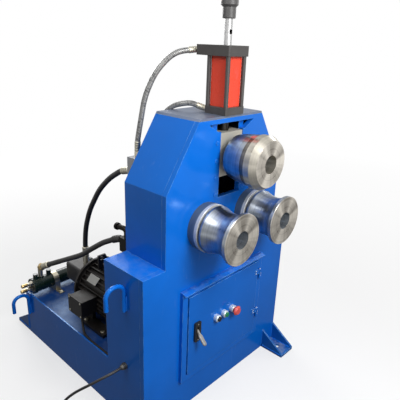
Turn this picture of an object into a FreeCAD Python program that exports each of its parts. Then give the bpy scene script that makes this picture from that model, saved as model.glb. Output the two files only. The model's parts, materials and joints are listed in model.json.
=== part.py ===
import FreeCAD, Part
import math
import os
import Sketcher

# Powered vertical three-roll bender for pipe and section, in mm.
# x runs to the right seen from the front, y from the front to the rear and z up from the floor.
# Places along y are counted from the front face of the front plate.

doc = FreeCAD.newDocument("roll_bender")
sheet = doc.addObject("Spreadsheet::Sheet", "sizes")
V = FreeCAD.Vector


class Size:
    """A number together with the sheet expression that gives it."""

    def __init__(self, number, text):
        self.number = float(number)
        self.text = text

    def __add__(self, other):
        return joined(self, "+", other)

    def __radd__(self, other):
        return joined(other, "+", self)

    def __sub__(self, other):
        return joined(self, "-", other)

    def __rsub__(self, other):
        return joined(other, "-", self)

    def __mul__(self, other):
        return joined(self, "*", other)

    def __rmul__(self, other):
        return joined(other, "*", self)

    def __truediv__(self, other):
        return joined(self, "/", other)

    def __neg__(self):
        return joined(0, "-", self)


def as_size(value):
    """A plain number as a Size, and a Size as it is."""
    if isinstance(value, Size):
        return value
    return Size(value, repr(float(value)))


def joined(left, sign, right):
    """left sign right, worked out and also written as an expression."""
    left, right = as_size(left), as_size(right)
    a, b = left.number, right.number
    number = {"+": a + b, "-": a - b, "*": a * b, "/": a / b if b else 0.0}[sign]
    return Size(number, "(%s %s %s)" % (left.text, sign, right.text))


def root(value):
    """The square root of a Size."""
    return Size(math.sqrt(value.number), "sqrt(%s)" % value.text)


rows = []


def size(name, value):
    """Writes one named size in the sheet and returns it."""
    row = len(rows) + 1
    rows.append(name)
    sheet.set("A%d" % row, name)
    text = "=" + value.text.replace("sizes.", "") if isinstance(value, Size) else str(value)
    sheet.set("B%d" % row, text)
    sheet.setAlias("B%d" % row, name)
    return Size(value.number if isinstance(value, Size) else value, "sizes." + name)


# Welded cabinet and tower
base_width = size("base_width", 820)
base_height = size("base_height", 650)
tower_width = size("tower_width", 624)
knuckle_height = size("knuckle_height", 914)
crown_width = size("crown_width", 330)
crown_height = size("crown_height", 1144)
tower_depth = size("tower_depth", 212)
total_depth = size("total_depth", 874)
tank_height = size("tank_height", 228)
front_thick = size("front_thick", 20)
rear_thick = size("rear_thick", 16)
skin = size("skin", 6)
crown_thick = size("crown_thick", 8)
deck_drop = size("deck_drop", 12)
floor_gap = size("floor_gap", 20)

# Feet
foot_reach = size("foot_reach", 117.5)
foot_width = size("foot_width", 91)
foot_plate = size("foot_plate", 10)
gusset_height = size("gusset_height", 94)
gusset_thick = size("gusset_thick", 8)
gusset_tip = size("gusset_tip", 16)
slot_half_width = size("slot_half_width", 9)
slot_length = size("slot_length", 34)
slot_place = size("slot_place", 60)

# Lifting hooks
hook_bar = size("hook_bar", 8)
hook_span = size("hook_span", 72)
hook_leg = size("hook_leg", 72)
hook_free = size("hook_free", 40)
front_hook_y = size("front_hook_y", 93)
front_hook_z = size("front_hook_z", 498)
rear_hook_inset = size("rear_hook_inset", 36)
rear_hook_y = size("rear_hook_y", total_depth - rear_hook_inset)
rear_hook_z = size("rear_hook_z", 122)

# Slide window and guides
window_half = size("window_half", 60)
window_margin = size("window_margin", 24)
window_height = size("window_height", 265)
window_top = size("window_top", crown_height - window_margin)
window_bottom = size("window_bottom", window_top - window_height)
notch_half = size("notch_half", 71)
notch_drop = size("notch_drop", 29)
notch_bottom = size("notch_bottom", window_top - notch_drop)
notch_reach = size("notch_reach", 118)
slide_half = size("slide_half", 59)
slide_lift = size("slide_lift", 75)
slide_bottom = size("slide_bottom", window_bottom + slide_lift)
slide_height = size("slide_height", 156)
slide_front = size("slide_front", 2)
slide_rear = size("slide_rear", 150)
slide_gap = size("slide_gap", 0.5)
tongue_reach = size("tongue_reach", 13)
tongue_front = size("tongue_front", 50)
tongue_width = size("tongue_width", 30)
rail_width = size("rail_width", 25)
rail_depth = size("rail_depth", 120)
screw_x = size("screw_x", 78)
screw_first = size("screw_first", window_bottom + 13)
screw_pitch = size("screw_pitch", (window_top - window_bottom - 16) / 4)

# Rolls and shafts
gear_module = size("gear_module", 4)
bull_teeth = size("bull_teeth", 45)
pinion_teeth = size("pinion_teeth", 18)
roll_drop = size("roll_drop", 89)
roll_z = size("roll_z", window_bottom - roll_drop)
upper_rise = size("upper_rise", 72)
upper_z = size("upper_z", slide_bottom + upper_rise)
roll_front = size("roll_front", 172)
roll_bore = size("roll_bore", 32)
roll_recess = size("roll_recess", 75)
lower_roll_rear = size("lower_roll_rear", 52)
lower_roll_r = size("lower_roll_r", 86.5)
waist_r = size("waist_r", 74.5)
waist_y = size("waist_y", 115)
rim_r = size("rim_r", 91.6)
rim_y = size("rim_y", 159)
upper_roll_rear = size("upper_roll_rear", 30)
upper_small_r = size("upper_small_r", 78)
upper_big_r = size("upper_big_r", 90)
upper_seam = size("upper_seam", 122)
upper_ring_r = size("upper_ring_r", 94)
upper_bevel_y = size("upper_bevel_y", 149)
upper_face_r = size("upper_face_r", 80)
journal = size("journal", 35)
rear_journal = size("rear_journal", 30)
gear_seat = size("gear_seat", 28)
collar_r = size("collar_r", 60)
collar_thick = size("collar_thick", 7)
running = size("running", 0.05)
bearing_r = size("bearing_r", 62)
rear_bearing_r = size("rear_bearing_r", 50)
housing_r = size("housing_r", 80)
housing_depth = size("housing_depth", 30)
cap_r = size("cap_r", 86)
cap_thick = size("cap_thick", 20)
seal_r = size("seal_r", 88)
seal_thick = size("seal_thick", 24)

# Gear train
gear_width = size("gear_width", 40)
gear_start = size("gear_start", 222)
case_depth = size("case_depth", 64)
case_half = size("case_half", 234)
case_rise = size("case_rise", 108)
case_wall = size("case_wall", 6)
pinion_shaft = size("pinion_shaft", 16)
drive_motor_r = size("drive_motor_r", 52)
drive_motor_length = size("drive_motor_length", 118)

# Ram
ram_y = size("ram_y", 43)
base_side = size("base_side", 98.6)
head_side = size("head_side", 104.5)
head_rise = size("head_rise", 34)
base_rise = size("base_rise", 26)
barrel_side = size("barrel_side", 75)
barrel_length = size("barrel_length", 166)
barrel_bore = size("barrel_bore", 31)
piston_thick = size("piston_thick", 30)
piston_place = size("piston_place", 90)
rod_r = size("rod_r", 20)
tail_r = size("tail_r", 13)
tie_r = size("tie_r", 7.5)
tie_end_r = size("tie_end_r", 5.5)
tie_place = size("tie_place", 41.5)
tie_depth = size("tie_depth", 24)
key_half = size("key_half", 7)
key_height = size("key_height", 14)
key_rise = size("key_rise", 35)
port_length = size("port_length", 40)
port_width = size("port_width", 44)
nut_gap = size("nut_gap", 83)
nut_lower_r = size("nut_lower_r", 22)
nut_upper_r = size("nut_upper_r", 29)
nut_lower = size("nut_lower", 38)
nut_height = size("nut_height", 80)

# Door
door_half = size("door_half", 209)
door_bottom = size("door_bottom", 166)
door_height = size("door_height", 342)
door_gap = size("door_gap", 3)
surround = size("surround", 26)
surround_depth = size("surround_depth", 14)
door_proud = size("door_proud", 4)
door_sheet = size("door_sheet", 3)
door_fold = size("door_fold", 14)
opening_margin = size("opening_margin", 14)
hinge_bar = size("hinge_bar", 5.5)
hinge_pin = size("hinge_pin", 2.95)
hinge_length = size("hinge_length", 44)
upper_hinge = size("upper_hinge", 424)
lower_hinge = size("lower_hinge", 230)
button_z = size("button_z", 355)
black_x = size("black_x", -55)
green_x = size("green_x", -10)
stop_x = size("stop_x", 41)
button_r = size("button_r", 9.95)
button_bore = size("button_bore", 10.02)
bezel_r = size("bezel_r", 15)
bezel_proud = size("bezel_proud", 18)
mushroom_r = size("mushroom_r", 20)
isolator_x = size("isolator_x", -165)
isolator_z = size("isolator_z", 346)
isolator_width = size("isolator_width", 32)
isolator_height = size("isolator_height", 82)
isolator_proud = size("isolator_proud", 9)
lever_length = size("lever_length", 60)
lever_width = size("lever_width", 8)

# Power pack
motor_x = size("motor_x", -220)
motor_z = size("motor_z", 339)
motor_gap = size("motor_gap", 80)
motor_front = size("motor_front", tower_depth + motor_gap)
pump_room = size("pump_room", 338)
motor_rear = size("motor_rear", total_depth - pump_room)
motor_core = size("motor_core", 94)
fin_r = size("fin_r", 110)
fin_thick = size("fin_thick", 4)
fin_count = size("fin_count", 32)
flange_r = size("flange_r", 122)
flange_thick = size("flange_thick", 14)
cowl_length = size("cowl_length", 56)
cowl_front = size("cowl_front", motor_front - cowl_length)
cowl_r = size("cowl_r", 112)
cowl_wall = size("cowl_wall", 3)
shaft_r = size("shaft_r", 19)
fan_r = size("fan_r", 92)
foot_spread = size("foot_spread", 130)
foot_inset = size("foot_inset", 43)
motor_foot = size("motor_foot", 162)
foot_end = size("foot_end", motor_rear - foot_inset)
foot_start = size("foot_start", foot_end - motor_foot)
box_reach = size("box_reach", 180)
box_left = size("box_left", motor_x - box_reach)
box_inset = size("box_inset", 38)
box_length = size("box_length", 98)
box_rear = size("box_rear", motor_rear - box_inset)
box_front = size("box_front", box_rear - box_length)
box_bottom = size("box_bottom", motor_z - 42)
box_height = size("box_height", 78)
box_top = size("box_top", box_bottom + box_height)
bell_length = size("bell_length", 70)
pump_side = size("pump_side", 90)
pump_length = size("pump_length", 115)
port_place = size("port_place", 107)
pump_port_y = size("pump_port_y", motor_rear + port_place)

# Cooler
cooler_inset = size("cooler_inset", 48)
cooler_y = size("cooler_y", total_depth - cooler_inset)
cooler_z = size("cooler_z", 266)
cooler_r = size("cooler_r", 33)
cooler_cap_r = size("cooler_cap_r", 37)
cooler_left = size("cooler_left", -400)
cooler_length = size("cooler_length", 330)
clamp_first = size("clamp_first", -300)
clamp_pitch = size("clamp_pitch", 150)
clamp_width = size("clamp_width", 25)

# Valves and lines
valve_left = size("valve_left", -240)
valve_width = size("valve_width", 110)
valve_depth = size("valve_depth", 76)
valve_lift = size("valve_lift", 10)
valve_bottom = size("valve_bottom", roll_z + case_rise + valve_lift)
valve_height = size("valve_height", 92)
return_left = size("return_left", -300)
return_side = size("return_side", 56)
return_drop = size("return_drop", 140)
return_bottom = size("return_bottom", roll_z - return_drop)
hose_r = size("hose_r", 11)
braid_r = size("braid_r", 8.5)
fitting_r = size("fitting_r", 15)

# Supply cable
cable_r = size("cable_r", 5)
gland_y = size("gland_y", 103)
gland_z = size("gland_z", 258)
coil_x = size("coil_x", -645)
coil_y = size("coil_y", 155)
coil_mean_r = size("coil_mean_r", 50)
coil_bundle_r = size("coil_bundle_r", 16)
loose_end = size("loose_end", 60)

# Places that follow from the sizes
half = base_width / 2
inside_xs = (skin - half, half - skin)
tower_half = tower_width / 2
crown_half = crown_width / 2
slope_run = tower_half - crown_half
slope_rise = crown_height - knuckle_height
slope_length = root(slope_run * slope_run + slope_rise * slope_rise)
plate_top = crown_height - crown_thick
plate_top_half = crown_half + crown_thick * slope_run / slope_rise
inner_top_half = plate_top_half - skin * slope_length / slope_rise
inner_knuckle = knuckle_height - skin * (slope_length - slope_rise) / slope_run
rear_face = tower_depth - rear_thick
deck_top = tank_height - deck_drop
roll_x = gear_module * (bull_teeth + pinion_teeth) / 2
front_y = size("front_y", (roll_front - total_depth - foot_reach) / 2)
slide_top = slide_bottom + slide_height
base_top = crown_height + base_rise
head_bottom = base_top + barrel_length
head_top = head_bottom + head_rise
doc.recompute()

PLANES = {"front": "XZ_Plane", "side": "YZ_Plane", "flat": "XY_Plane"}
TURNS = {
    "x": FreeCAD.Rotation(V(0, 1, 0), 90),
    "y": FreeCAD.Rotation(V(1, 0, 0), -90),
    "z": FreeCAD.Rotation(),
}
nodes = []


def bind(thing, path, value):
    """Ties one property of a thing to a size."""
    thing.setExpression(path, as_size(value).text)


def move(thing, x, y, z, turn=None):
    """Places a thing at x, y and z, with y counted from the front face."""
    if turn:
        thing.Placement = FreeCAD.Placement(V(), turn)
    for axis, value in zip("xyz", (x, front_y + y, z)):
        bind(thing, "Placement.Base." + axis, value)
    return thing


def block(xs, ys, zs):
    """A box between two places on each axis."""
    box = doc.addObject("Part::Box", "block")
    for name, (low, high) in zip(("Length", "Width", "Height"), (xs, ys, zs)):
        bind(box, name, high - low)
    return move(box, xs[0], ys[0], zs[0])


def rod(axis, radius, ends, at):
    """A round bar along an axis; at gives its two other places in the order x, y, z."""
    bar = doc.addObject("Part::Cylinder", "rod")
    bind(bar, "Radius", radius)
    bind(bar, "Height", ends[1] - ends[0])
    place = list(at)
    place.insert("xyz".index(axis), ends[0])
    return move(bar, *place, turn=TURNS[axis])


def joined_solid(*pieces):
    """One solid from pieces that touch or overlap."""
    union = doc.addObject("Part::MultiFuse", "union")
    union.Shapes = list(pieces)
    union.Refine = True
    return union


def group(*pieces):
    """Several solids of one sub-part."""
    holder = doc.addObject("Part::Compound", "group")
    holder.Links = list(pieces)
    return holder


def cut(body, *tools):
    """A body less its tools."""
    result = doc.addObject("Part::Cut", "cut")
    result.Base = body
    result.Tool = tools[0] if len(tools) == 1 else joined_solid(*tools)
    return result


def mirrored(thing):
    """The same piece on the other side of the middle plane."""
    copy = doc.addObject("Part::Mirroring", "mirrored")
    copy.Source = thing
    copy.Base = V(0, 0, 0)
    copy.Normal = V(1, 0, 0)
    return copy


def both(thing):
    """A piece and its mirror image as one sub-part."""
    return group(thing, mirrored(thing))


def rim(x0, x1, y0, y1):
    """The four corners of a rectangle."""
    return [(x0, y0), (x1, y0), (x1, y1), (x0, y1)]


def round_rim(x0, x1, y0, y1, r):
    """A rectangle with rounded corners."""
    return [(x0 + r, y0), (x1 - r, y0, r), (x1, y0 + r), (x1, y1 - r, r),
            (x1 - r, y1), (x0 + r, y1, r), (x0, y1 - r), (x0, y0 + r, r)]


def draw(sketch, loops):
    """Draws closed loops in a sketch and ties every corner to its sizes.

    A loop is a list of corners (u, v). A third value gives the edge that leaves the corner
    the radius of an arc: its centre lies to the left of the way for a positive radius, at
    mid + left * sqrt(radius^2 - (chord / 2)^2). A circle is ("circle", u, v, radius).
    """
    def tie(kind, geo, pos, value):
        value = as_size(value)
        rule = Sketcher.Constraint(kind, geo, pos, value.number) if pos else \
            Sketcher.Constraint(kind, geo, value.number)
        index = sketch.addConstraint(rule)
        bind(sketch, "Constraints[%d]" % index, value)

    for loop in loops:
        if loop[0] == "circle":
            u, v, r = (as_size(value) for value in loop[1:])
            geo = sketch.addGeometry(Part.Circle(V(u.number, v.number, 0), V(0, 0, 1), r.number))
            tie("DistanceX", geo, 3, u)
            tie("DistanceY", geo, 3, v)
            tie("Radius", geo, 0, r)
            continue
        corners = [[as_size(value) for value in corner] for corner in loop]
        edges = []
        for here, there in zip(corners, corners[1:] + corners[:1]):
            start = V(here[0].number, here[1].number, 0)
            end = V(there[0].number, there[1].number, 0)
            if len(here) == 2:
                edges.append((sketch.addGeometry(Part.LineSegment(start, end)), 1, 2))
                continue
            bend = here[2].number
            chord = end - start
            left = V(-chord.y, chord.x, 0).normalize()
            rise = math.sqrt(max(bend ** 2 - (chord.Length / 2) ** 2, 0))
            centre = (start + end) / 2 + left * rise * (1 if bend > 0 else -1)
            first, last = (start, end) if bend > 0 else (end, start)
            angles = [math.atan2(p.y - centre.y, p.x - centre.x) for p in (first, last)]
            arc = Part.ArcOfCircle(Part.Circle(centre, V(0, 0, 1), abs(bend)), *angles)
            edges.append((sketch.addGeometry(arc), 1, 2) if bend > 0 else (sketch.addGeometry(arc), 2, 1))
        for number, (geo, head, tail) in enumerate(edges):
            before = edges[number - 1]
            sketch.addConstraint(Sketcher.Constraint("Coincident", before[0], before[2], geo, head))
            tie("DistanceX", geo, head, corners[number][0])
            tie("DistanceY", geo, head, corners[number][1])
            if len(corners[number]) == 3:
                bend = corners[number][2]
                tie("Radius", geo, 0, bend if bend.number > 0 else -bend)


def sketch_on(body, plane, loops):
    """A sketch on one of the body's own planes."""
    sketch = body.newObject("Sketcher::SketchObject", "outline")
    face = [item for item in body.Origin.OriginFeatures if item.Role == plane][0]
    sketch.AttachmentSupport = [(face, "")]
    sketch.MapMode = "FlatFace"
    draw(sketch, loops)
    return sketch


def pad(body, plane, loops, length, back=False):
    """Adds a plate of one outline to a body."""
    feature = body.newObject("PartDesign::Pad", "pad")
    feature.Profile = sketch_on(body, plane, loops)
    bind(feature, "Length", length)
    feature.Reversed = back
    body.Tip = feature
    return feature


def slab(plane, loops, ends):
    """A plate with the outline and holes of its loops, between two places across its plane."""
    body = doc.addObject("PartDesign::Body", "plate")
    pad(body, PLANES[plane], loops, ends[1] - ends[0], plane == "front")
    if plane == "front":
        return move(body, 0, ends[0], 0)
    if plane == "side":
        return move(body, ends[0], 0, 0)
    return move(body, 0, 0, ends[0])


def turned(axis, profile, at):
    """A turned piece: corners (radius, place along the axis) about an axis through at."""
    body = doc.addObject("PartDesign::Body", "turned")
    feature = body.newObject("PartDesign::Revolution", "revolution")
    feature.Profile = sketch_on(body, "XZ_Plane", [profile])
    feature.ReferenceAxis = (feature.Profile[0], ["V_Axis"])
    feature.Angle = 360
    body.Tip = feature
    place = list(at)
    place.insert("xyz".index(axis), 0)
    return move(body, *place, turn=TURNS[axis])


def ring(axis, outer, inner, ends, at):
    """A plain ring along an axis."""
    return turned(axis, [(inner, ends[0]), (outer, ends[0]), (outer, ends[1]), (inner, ends[1])], at)


def bearing(outer, inner, ends, at):
    """A ball bearing along y, with its races proud of the shield by a shallow groove."""
    wall = (outer - inner) / 4
    dip = 1.5
    return turned("y", [
        (inner, ends[0]), (inner + wall, ends[0]), (inner + wall, ends[0] + dip),
        (outer - wall, ends[0] + dip), (outer - wall, ends[0]), (outer, ends[0]),
        (outer, ends[1]), (outer - wall, ends[1]), (outer - wall, ends[1] - dip),
        (inner + wall, ends[1] - dip), (inner + wall, ends[1]), (inner, ends[1])], at)


def hexagon(axis, radius, ends, at):
    """A six-sided nut or fitting along an axis, over its corners."""
    body = doc.addObject("Part::Prism", "nut")
    body.Polygon = 6
    bind(body, "Circumradius", radius)
    bind(body, "Height", ends[1] - ends[0])
    place = list(at)
    place.insert("xyz".index(axis), ends[0])
    return move(body, *place, turn=TURNS[axis])


def bent_bar(points, radius, bend=math.inf):
    """A round bar along straight runs joined by tangent arcs.

    Each arc takes the wanted bend, or 0.45 * shorter run / tan(turn / 2) where that is less.
    With no wanted bend every arc is as large as its runs allow, and the radii are printed.
    """
    spots = [V(*(as_size(value).number for value in (x, front_y + y, z))) for x, y, z in points]
    wanted = bend if bend == math.inf else as_size(bend).number
    radii = []
    edges = []
    here = spots[0]
    for before, corner, after in zip(spots, spots[1:], spots[2:]):
        come, go = corner - before, after - corner
        shorter = min(come.Length, go.Length)
        half_turn = come.getAngle(go) / 2
        reach = min(wanted * math.tan(half_turn), 0.45 * shorter)
        come.normalize()
        go.normalize()
        start, end = corner - come * reach, corner + go * reach
        inward = (go - come).normalize()
        r = reach / math.tan(half_turn)
        radii.append(round(r))
        middle = corner + inward * (r / math.cos(half_turn) - r)
        edges.append(Part.makeLine(here, start))
        edges.append(Part.Arc(start, middle, end).toShape())
        here = end
    edges.append(Part.makeLine(here, spots[-1]))
    spine = Part.Wire(edges)
    end_face = Part.Wire(Part.makeCircle(as_size(radius).number, spots[0], spots[1] - spots[0]))
    bar = doc.addObject("Part::Feature", "bar")
    bar.Shape = spine.makePipeShell([end_face], True, False)
    if bend == math.inf:
        print("arc radii of the free cable, mm:", radii)
    return bar


def between(start, end, shares):
    """Places start + share * (end - start), with a share of its own along x, y and z."""
    return [tuple(a + part * (b - a) for a, b, part in zip(start, end, share)) for share in shares]


def node(name, thing):
    """Gives a finished sub-part its name."""
    thing.Label = name
    nodes.append(thing)
    return thing


# Front plate: the whole silhouette with the slide window, the door opening and the bearing bores
silhouette = [
    (-half, 0), (half, 0), (half, base_height), (tower_half, base_height),
    (tower_half, knuckle_height), (plate_top_half, plate_top), (-plate_top_half, plate_top),
    (-tower_half, knuckle_height), (-tower_half, base_height), (-half, base_height)]
window = [
    (-window_half, window_bottom), (window_half, window_bottom), (window_half, notch_bottom),
    (notch_half, notch_bottom), (notch_reach, window_top - 2), (notch_reach, window_top),
    (-notch_reach, window_top), (-notch_reach, window_top - 2), (-notch_half, notch_bottom),
    (-window_half, notch_bottom)]
opening = rim(opening_margin - door_half, door_half - opening_margin,
              door_bottom + opening_margin, door_bottom + door_height - opening_margin)
screw_hole = size("screw_hole", 4.5)
screws = [(side * screw_x, screw_first + step * screw_pitch) for side in (-1, 1) for step in range(4)]
node("front_plate", slab("front", [
    silhouette, window, opening,
    ("circle", -roll_x, roll_z, bearing_r), ("circle", roll_x, roll_z, bearing_r),
] + [("circle", x, z, screw_hole) for x, z in screws], (0, front_thick)))

# Rear plate, inside the skins, with the rear bearing bores and the pinion clearance
inner = [
    (skin - half, 0), (half - skin, 0), (half - skin, base_height - skin),
    (tower_half - skin, base_height - skin), (tower_half - skin, inner_knuckle),
    (inner_top_half, plate_top), (-inner_top_half, plate_top), (skin - tower_half, inner_knuckle),
    (skin - tower_half, base_height - skin), (skin - half, base_height - skin)]
node("rear_plate", slab("front", [
    inner, ("circle", -roll_x, roll_z, rear_bearing_r), ("circle", roll_x, roll_z, rear_bearing_r),
], (rear_face, tower_depth)))

# Skins: an L-shaped side wall in one plane with the tank, and the folded tower side above it
gland_bore = size("gland_bore", 8)
side_wall = slab("side", [[
    (front_thick, 0), (total_depth, 0), (total_depth, tank_height), (tower_depth, tank_height),
    (tower_depth, base_height), (front_thick, base_height)]], (half - skin, half))
left_wall = cut(mirrored(side_wall), rod("x", gland_bore, (-half - 1, 1 + skin - half), (gland_y, gland_z)))
tower_side = slab("front", [[
    (half - skin, base_height), (tower_half, base_height), (tower_half, knuckle_height),
    (plate_top_half, plate_top), (inner_top_half, plate_top), (tower_half - skin, inner_knuckle),
    (tower_half - skin, base_height - skin), (half - skin, base_height - skin)]], (front_thick, tower_depth))
node("side_panels", group(side_wall, left_wall, tower_side, mirrored(tower_side)))

# Machined crown plate that carries the ram
rod_clearance = size("rod_clearance", 3)
crown = slab("front", [[
    (-plate_top_half, plate_top), (plate_top_half, plate_top),
    (crown_half, crown_height), (-crown_half, crown_height)]], (0, tower_depth))
node("top_plate", cut(crown, rod("z", rod_r + rod_clearance, (plate_top - 1, crown_height + 1), (0, ram_y))))

# Tank with the cabinet floor, its walls open at the top under the deck
tank_floor = block(inside_xs, (tower_depth, total_depth - skin), (floor_gap, floor_gap + skin))
tank_end = block(inside_xs, (total_depth - skin, total_depth), (0, tank_height))
cabinet_floor = block(inside_xs, (front_thick, rear_face), (floor_gap, floor_gap + skin))
node("oil_tank", group(joined_solid(tank_floor, tank_end), cabinet_floor))

# Deck with the suction hole and the filler neck
filler_inset = size("filler_inset", 140)
filler_x = size("filler_x", half - filler_inset)
filler_y = size("filler_y", total_depth - 184)
filler_r = size("filler_r", 26)
filler_bore = size("filler_bore", 20)
neck_rise = size("neck_rise", 30)
neck_top = deck_top + neck_rise
suction_r = size("suction_r", 14)
suction_place = size("suction_place", 164)
suction_y = size("suction_y", motor_rear + suction_place)
deck = block(inside_xs, (tower_depth, total_depth - skin), (deck_top - skin, deck_top))
deck = cut(deck,
           rod("z", filler_bore, (deck_top - 2 * skin, deck_top + 1), (filler_x, filler_y)),
           rod("z", suction_r, (deck_top - 2 * skin, deck_top + 1), (motor_x, suction_y)))
neck = turned("z", [
    (filler_bore, deck_top), (filler_r + 10, deck_top), (filler_r + 10, deck_top + 5), (filler_r, deck_top + 5),
    (filler_r, neck_top), (filler_bore, neck_top)], (filler_x, filler_y))
node("tank_deck", group(deck, neck))


def foot(wall, away):
    """One welded foot: two gussets on a slotted plate; away is -1 to the front and 1 to the rear."""
    tip = wall + away * foot_reach
    low, high = (tip, wall) if away < 0 else (wall, tip)
    gusset = [(wall, foot_plate), (wall, gusset_height), (tip, gusset_tip), (tip, foot_plate)]
    outer = slab("side", [gusset], (half - gusset_thick, half))
    inboard = slab("side", [gusset], (half - foot_width, half - foot_width + gusset_thick))
    plate = block((half - foot_width, half), (low, high), (0, foot_plate))
    middle, across = half - foot_width / 2, wall + away * slot_place
    run = slot_length / 2 - slot_half_width
    through = (-1, foot_plate + 1)
    slot = joined_solid(
        block((middle - run, middle + run), (across - slot_half_width, across + slot_half_width), through),
        rod("z", slot_half_width, through, (middle - run, across)),
        rod("z", slot_half_width, through, (middle + run, across)))
    return joined_solid(cut(plate, slot), outer, inboard)


node("feet", group(both(foot(as_size(0), -1)), both(foot(total_depth, 1))))


def hook(y, z):
    """One bent lifting hook on the left wall."""
    x = -half - hook_bar
    over = z + hook_leg + hook_span / 2
    points = [(x, y, z), (x, y, over), (x - hook_span, y, over), (x - hook_span, y, z + hook_leg - hook_free)]
    return bent_bar(points, hook_bar, hook_span / 2 - 0.1)


node("lifting_hooks", group(both(hook(front_hook_y, front_hook_z)), both(hook(rear_hook_y, rear_hook_z))))

# Guide rails either side of the window, grooved for the slide's tongues, with their screws
rail_inner = slide_half + slide_gap
groove_front = tongue_front - slide_gap
groove_rear = tongue_front + tongue_width + slide_gap
groove_reach = slide_half + tongue_reach + slide_gap
rail = slab("flat", [[
    (rail_inner, front_thick), (rail_inner + rail_width, front_thick), (rail_inner + rail_width, rail_depth),
    (rail_inner, rail_depth), (rail_inner, groove_rear), (groove_reach, groove_rear),
    (groove_reach, groove_front), (rail_inner, groove_front)]], (window_bottom - 15, plate_top))
screw_head = size("screw_head", 7.5)
screw_proud = size("screw_proud", 3)
rail_screws = [turned("y", [
    (0, -screw_proud), (screw_head - 1, -screw_proud), (screw_head, 1 - screw_proud), (screw_head, 0),
    (screw_hole, 0), (screw_hole, front_thick), (0, front_thick)], (screw_x, z)) for x, z in screws[4:]]
node("guide_rails", both(group(rail, *rail_screws)))

# Front bearing housings behind the plate and their caps in front, with the bright seal ring
cap_bore = size("cap_bore", 46)
housing = ring("y", housing_r, bearing_r, (front_thick, front_thick + housing_depth), (roll_x, roll_z))
cap = turned("y", [
    (cap_bore, -cap_thick - seal_thick), (seal_r - 1, -cap_thick - seal_thick),
    (seal_r, 1 - cap_thick - seal_thick), (seal_r, -cap_thick), (cap_r, -cap_thick),
    (cap_r, 0), (cap_bore, 0)], (roll_x, roll_z))
node("bearing_housings", both(group(housing, cap)))
front_race = bearing(bearing_r, journal + running, (0, front_thick + housing_depth), (roll_x, roll_z))
rear_race = bearing(rear_bearing_r, rear_journal + running, (rear_face, tower_depth), (roll_x, roll_z))
node("shaft_bearings", both(group(front_race, rear_race)))

# Door surround with a rain lip, and the fixed halves of the two hinges with their pins
door_top = door_bottom + door_height
frame_in = door_half + door_gap
frame_out = frame_in + surround
frame_low, frame_high = door_bottom - door_gap, door_top + door_gap
lip_z = frame_high + surround
side_bar = block((-frame_out, -frame_in), (-surround_depth, 0), (frame_low - surround, lip_z))
bottom_bar = block((-frame_in, frame_in), (-surround_depth, 0), (frame_low - surround, frame_low))
top_bar = block((-frame_in, frame_in), (-surround_depth, 0), (frame_high, lip_z))
lip = slab("side", [[
    (-surround_depth, lip_z - 6), (-surround_depth - 14, lip_z - 10), (-surround_depth - 15, lip_z - 7),
    (-surround_depth, lip_z)]], (-frame_out, frame_out))
hinge_x = frame_in + 9
hinge_y = -surround_depth - hinge_bar - 0.3
fixed_hinges = []
for low in (lower_hinge, upper_hinge):
    middle = low + hinge_length / 2
    leaf = block((hinge_x + 2, hinge_x + 16), (-surround_depth - 3, -surround_depth), (low, middle - 0.4))
    barrel = rod("z", hinge_bar, (low, middle - 0.4), (hinge_x, hinge_y))
    pin = rod("z", hinge_pin, (middle - 0.4, low + hinge_length), (hinge_x, hinge_y))
    fixed_hinges.append(joined_solid(leaf, barrel, pin))
node("door_frame", group(both(side_bar), bottom_bar, joined_solid(top_bar, lip), *fixed_hinges))

# Control plate with its rails, contactors and breakers
board_half = size("board_half", 175)
board_low = size("board_low", 140)
board_high = size("board_high", 560)
post_inset = size("post_inset", 25)
rail_half = size("rail_half", 160)
rail_height = size("rail_height", 35)
row_left = size("row_left", -140)
contactor_z = size("contactor_z", 205)
contactor_pitch = size("contactor_pitch", 62)
contactor_width = size("contactor_width", 50)
breaker_z = size("breaker_z", 375)
breaker_pitch = size("breaker_pitch", 19)
breaker_width = size("breaker_width", 17.5)
plate_rear = rear_face - 10
rail_face = plate_rear - 11
board = block((-board_half, board_half), (plate_rear - 3, plate_rear), (board_low, board_high))
posts = [rod("y", 7, (plate_rear, rear_face), (side * (board_half - post_inset), z))
         for side in (-1, 1) for z in (board_low + post_inset, board_high - post_inset)]
rail_blocks = [block((-rail_half, rail_half), (rail_face, plate_rear - 3), (z, z + rail_height))
               for z in (contactor_z + rail_height, breaker_z + 25)]
contactors = []
for step in range(3):
    x = row_left + step * contactor_pitch
    low = block((x, x + contactor_width), (plate_rear - 70, rail_face), (contactor_z, contactor_z + 90))
    high = block((x + 6, x + contactor_width - 6), (plate_rear - 95, plate_rear - 70),
                 (contactor_z + 20, contactor_z + 70))
    contactors.append(joined_solid(low, high))
for step in range(5):
    x = row_left + step * breaker_pitch
    low = block((x, x + breaker_width), (plate_rear - 60, rail_face), (breaker_z, breaker_z + 85))
    high = block((x + 4, x + breaker_width - 4), (plate_rear - 72, plate_rear - 60),
                 (breaker_z + 25, breaker_z + 60))
    contactors.append(joined_solid(low, high))
node("control_gear", group(joined_solid(board, *posts, *rail_blocks), *contactors))

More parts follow.
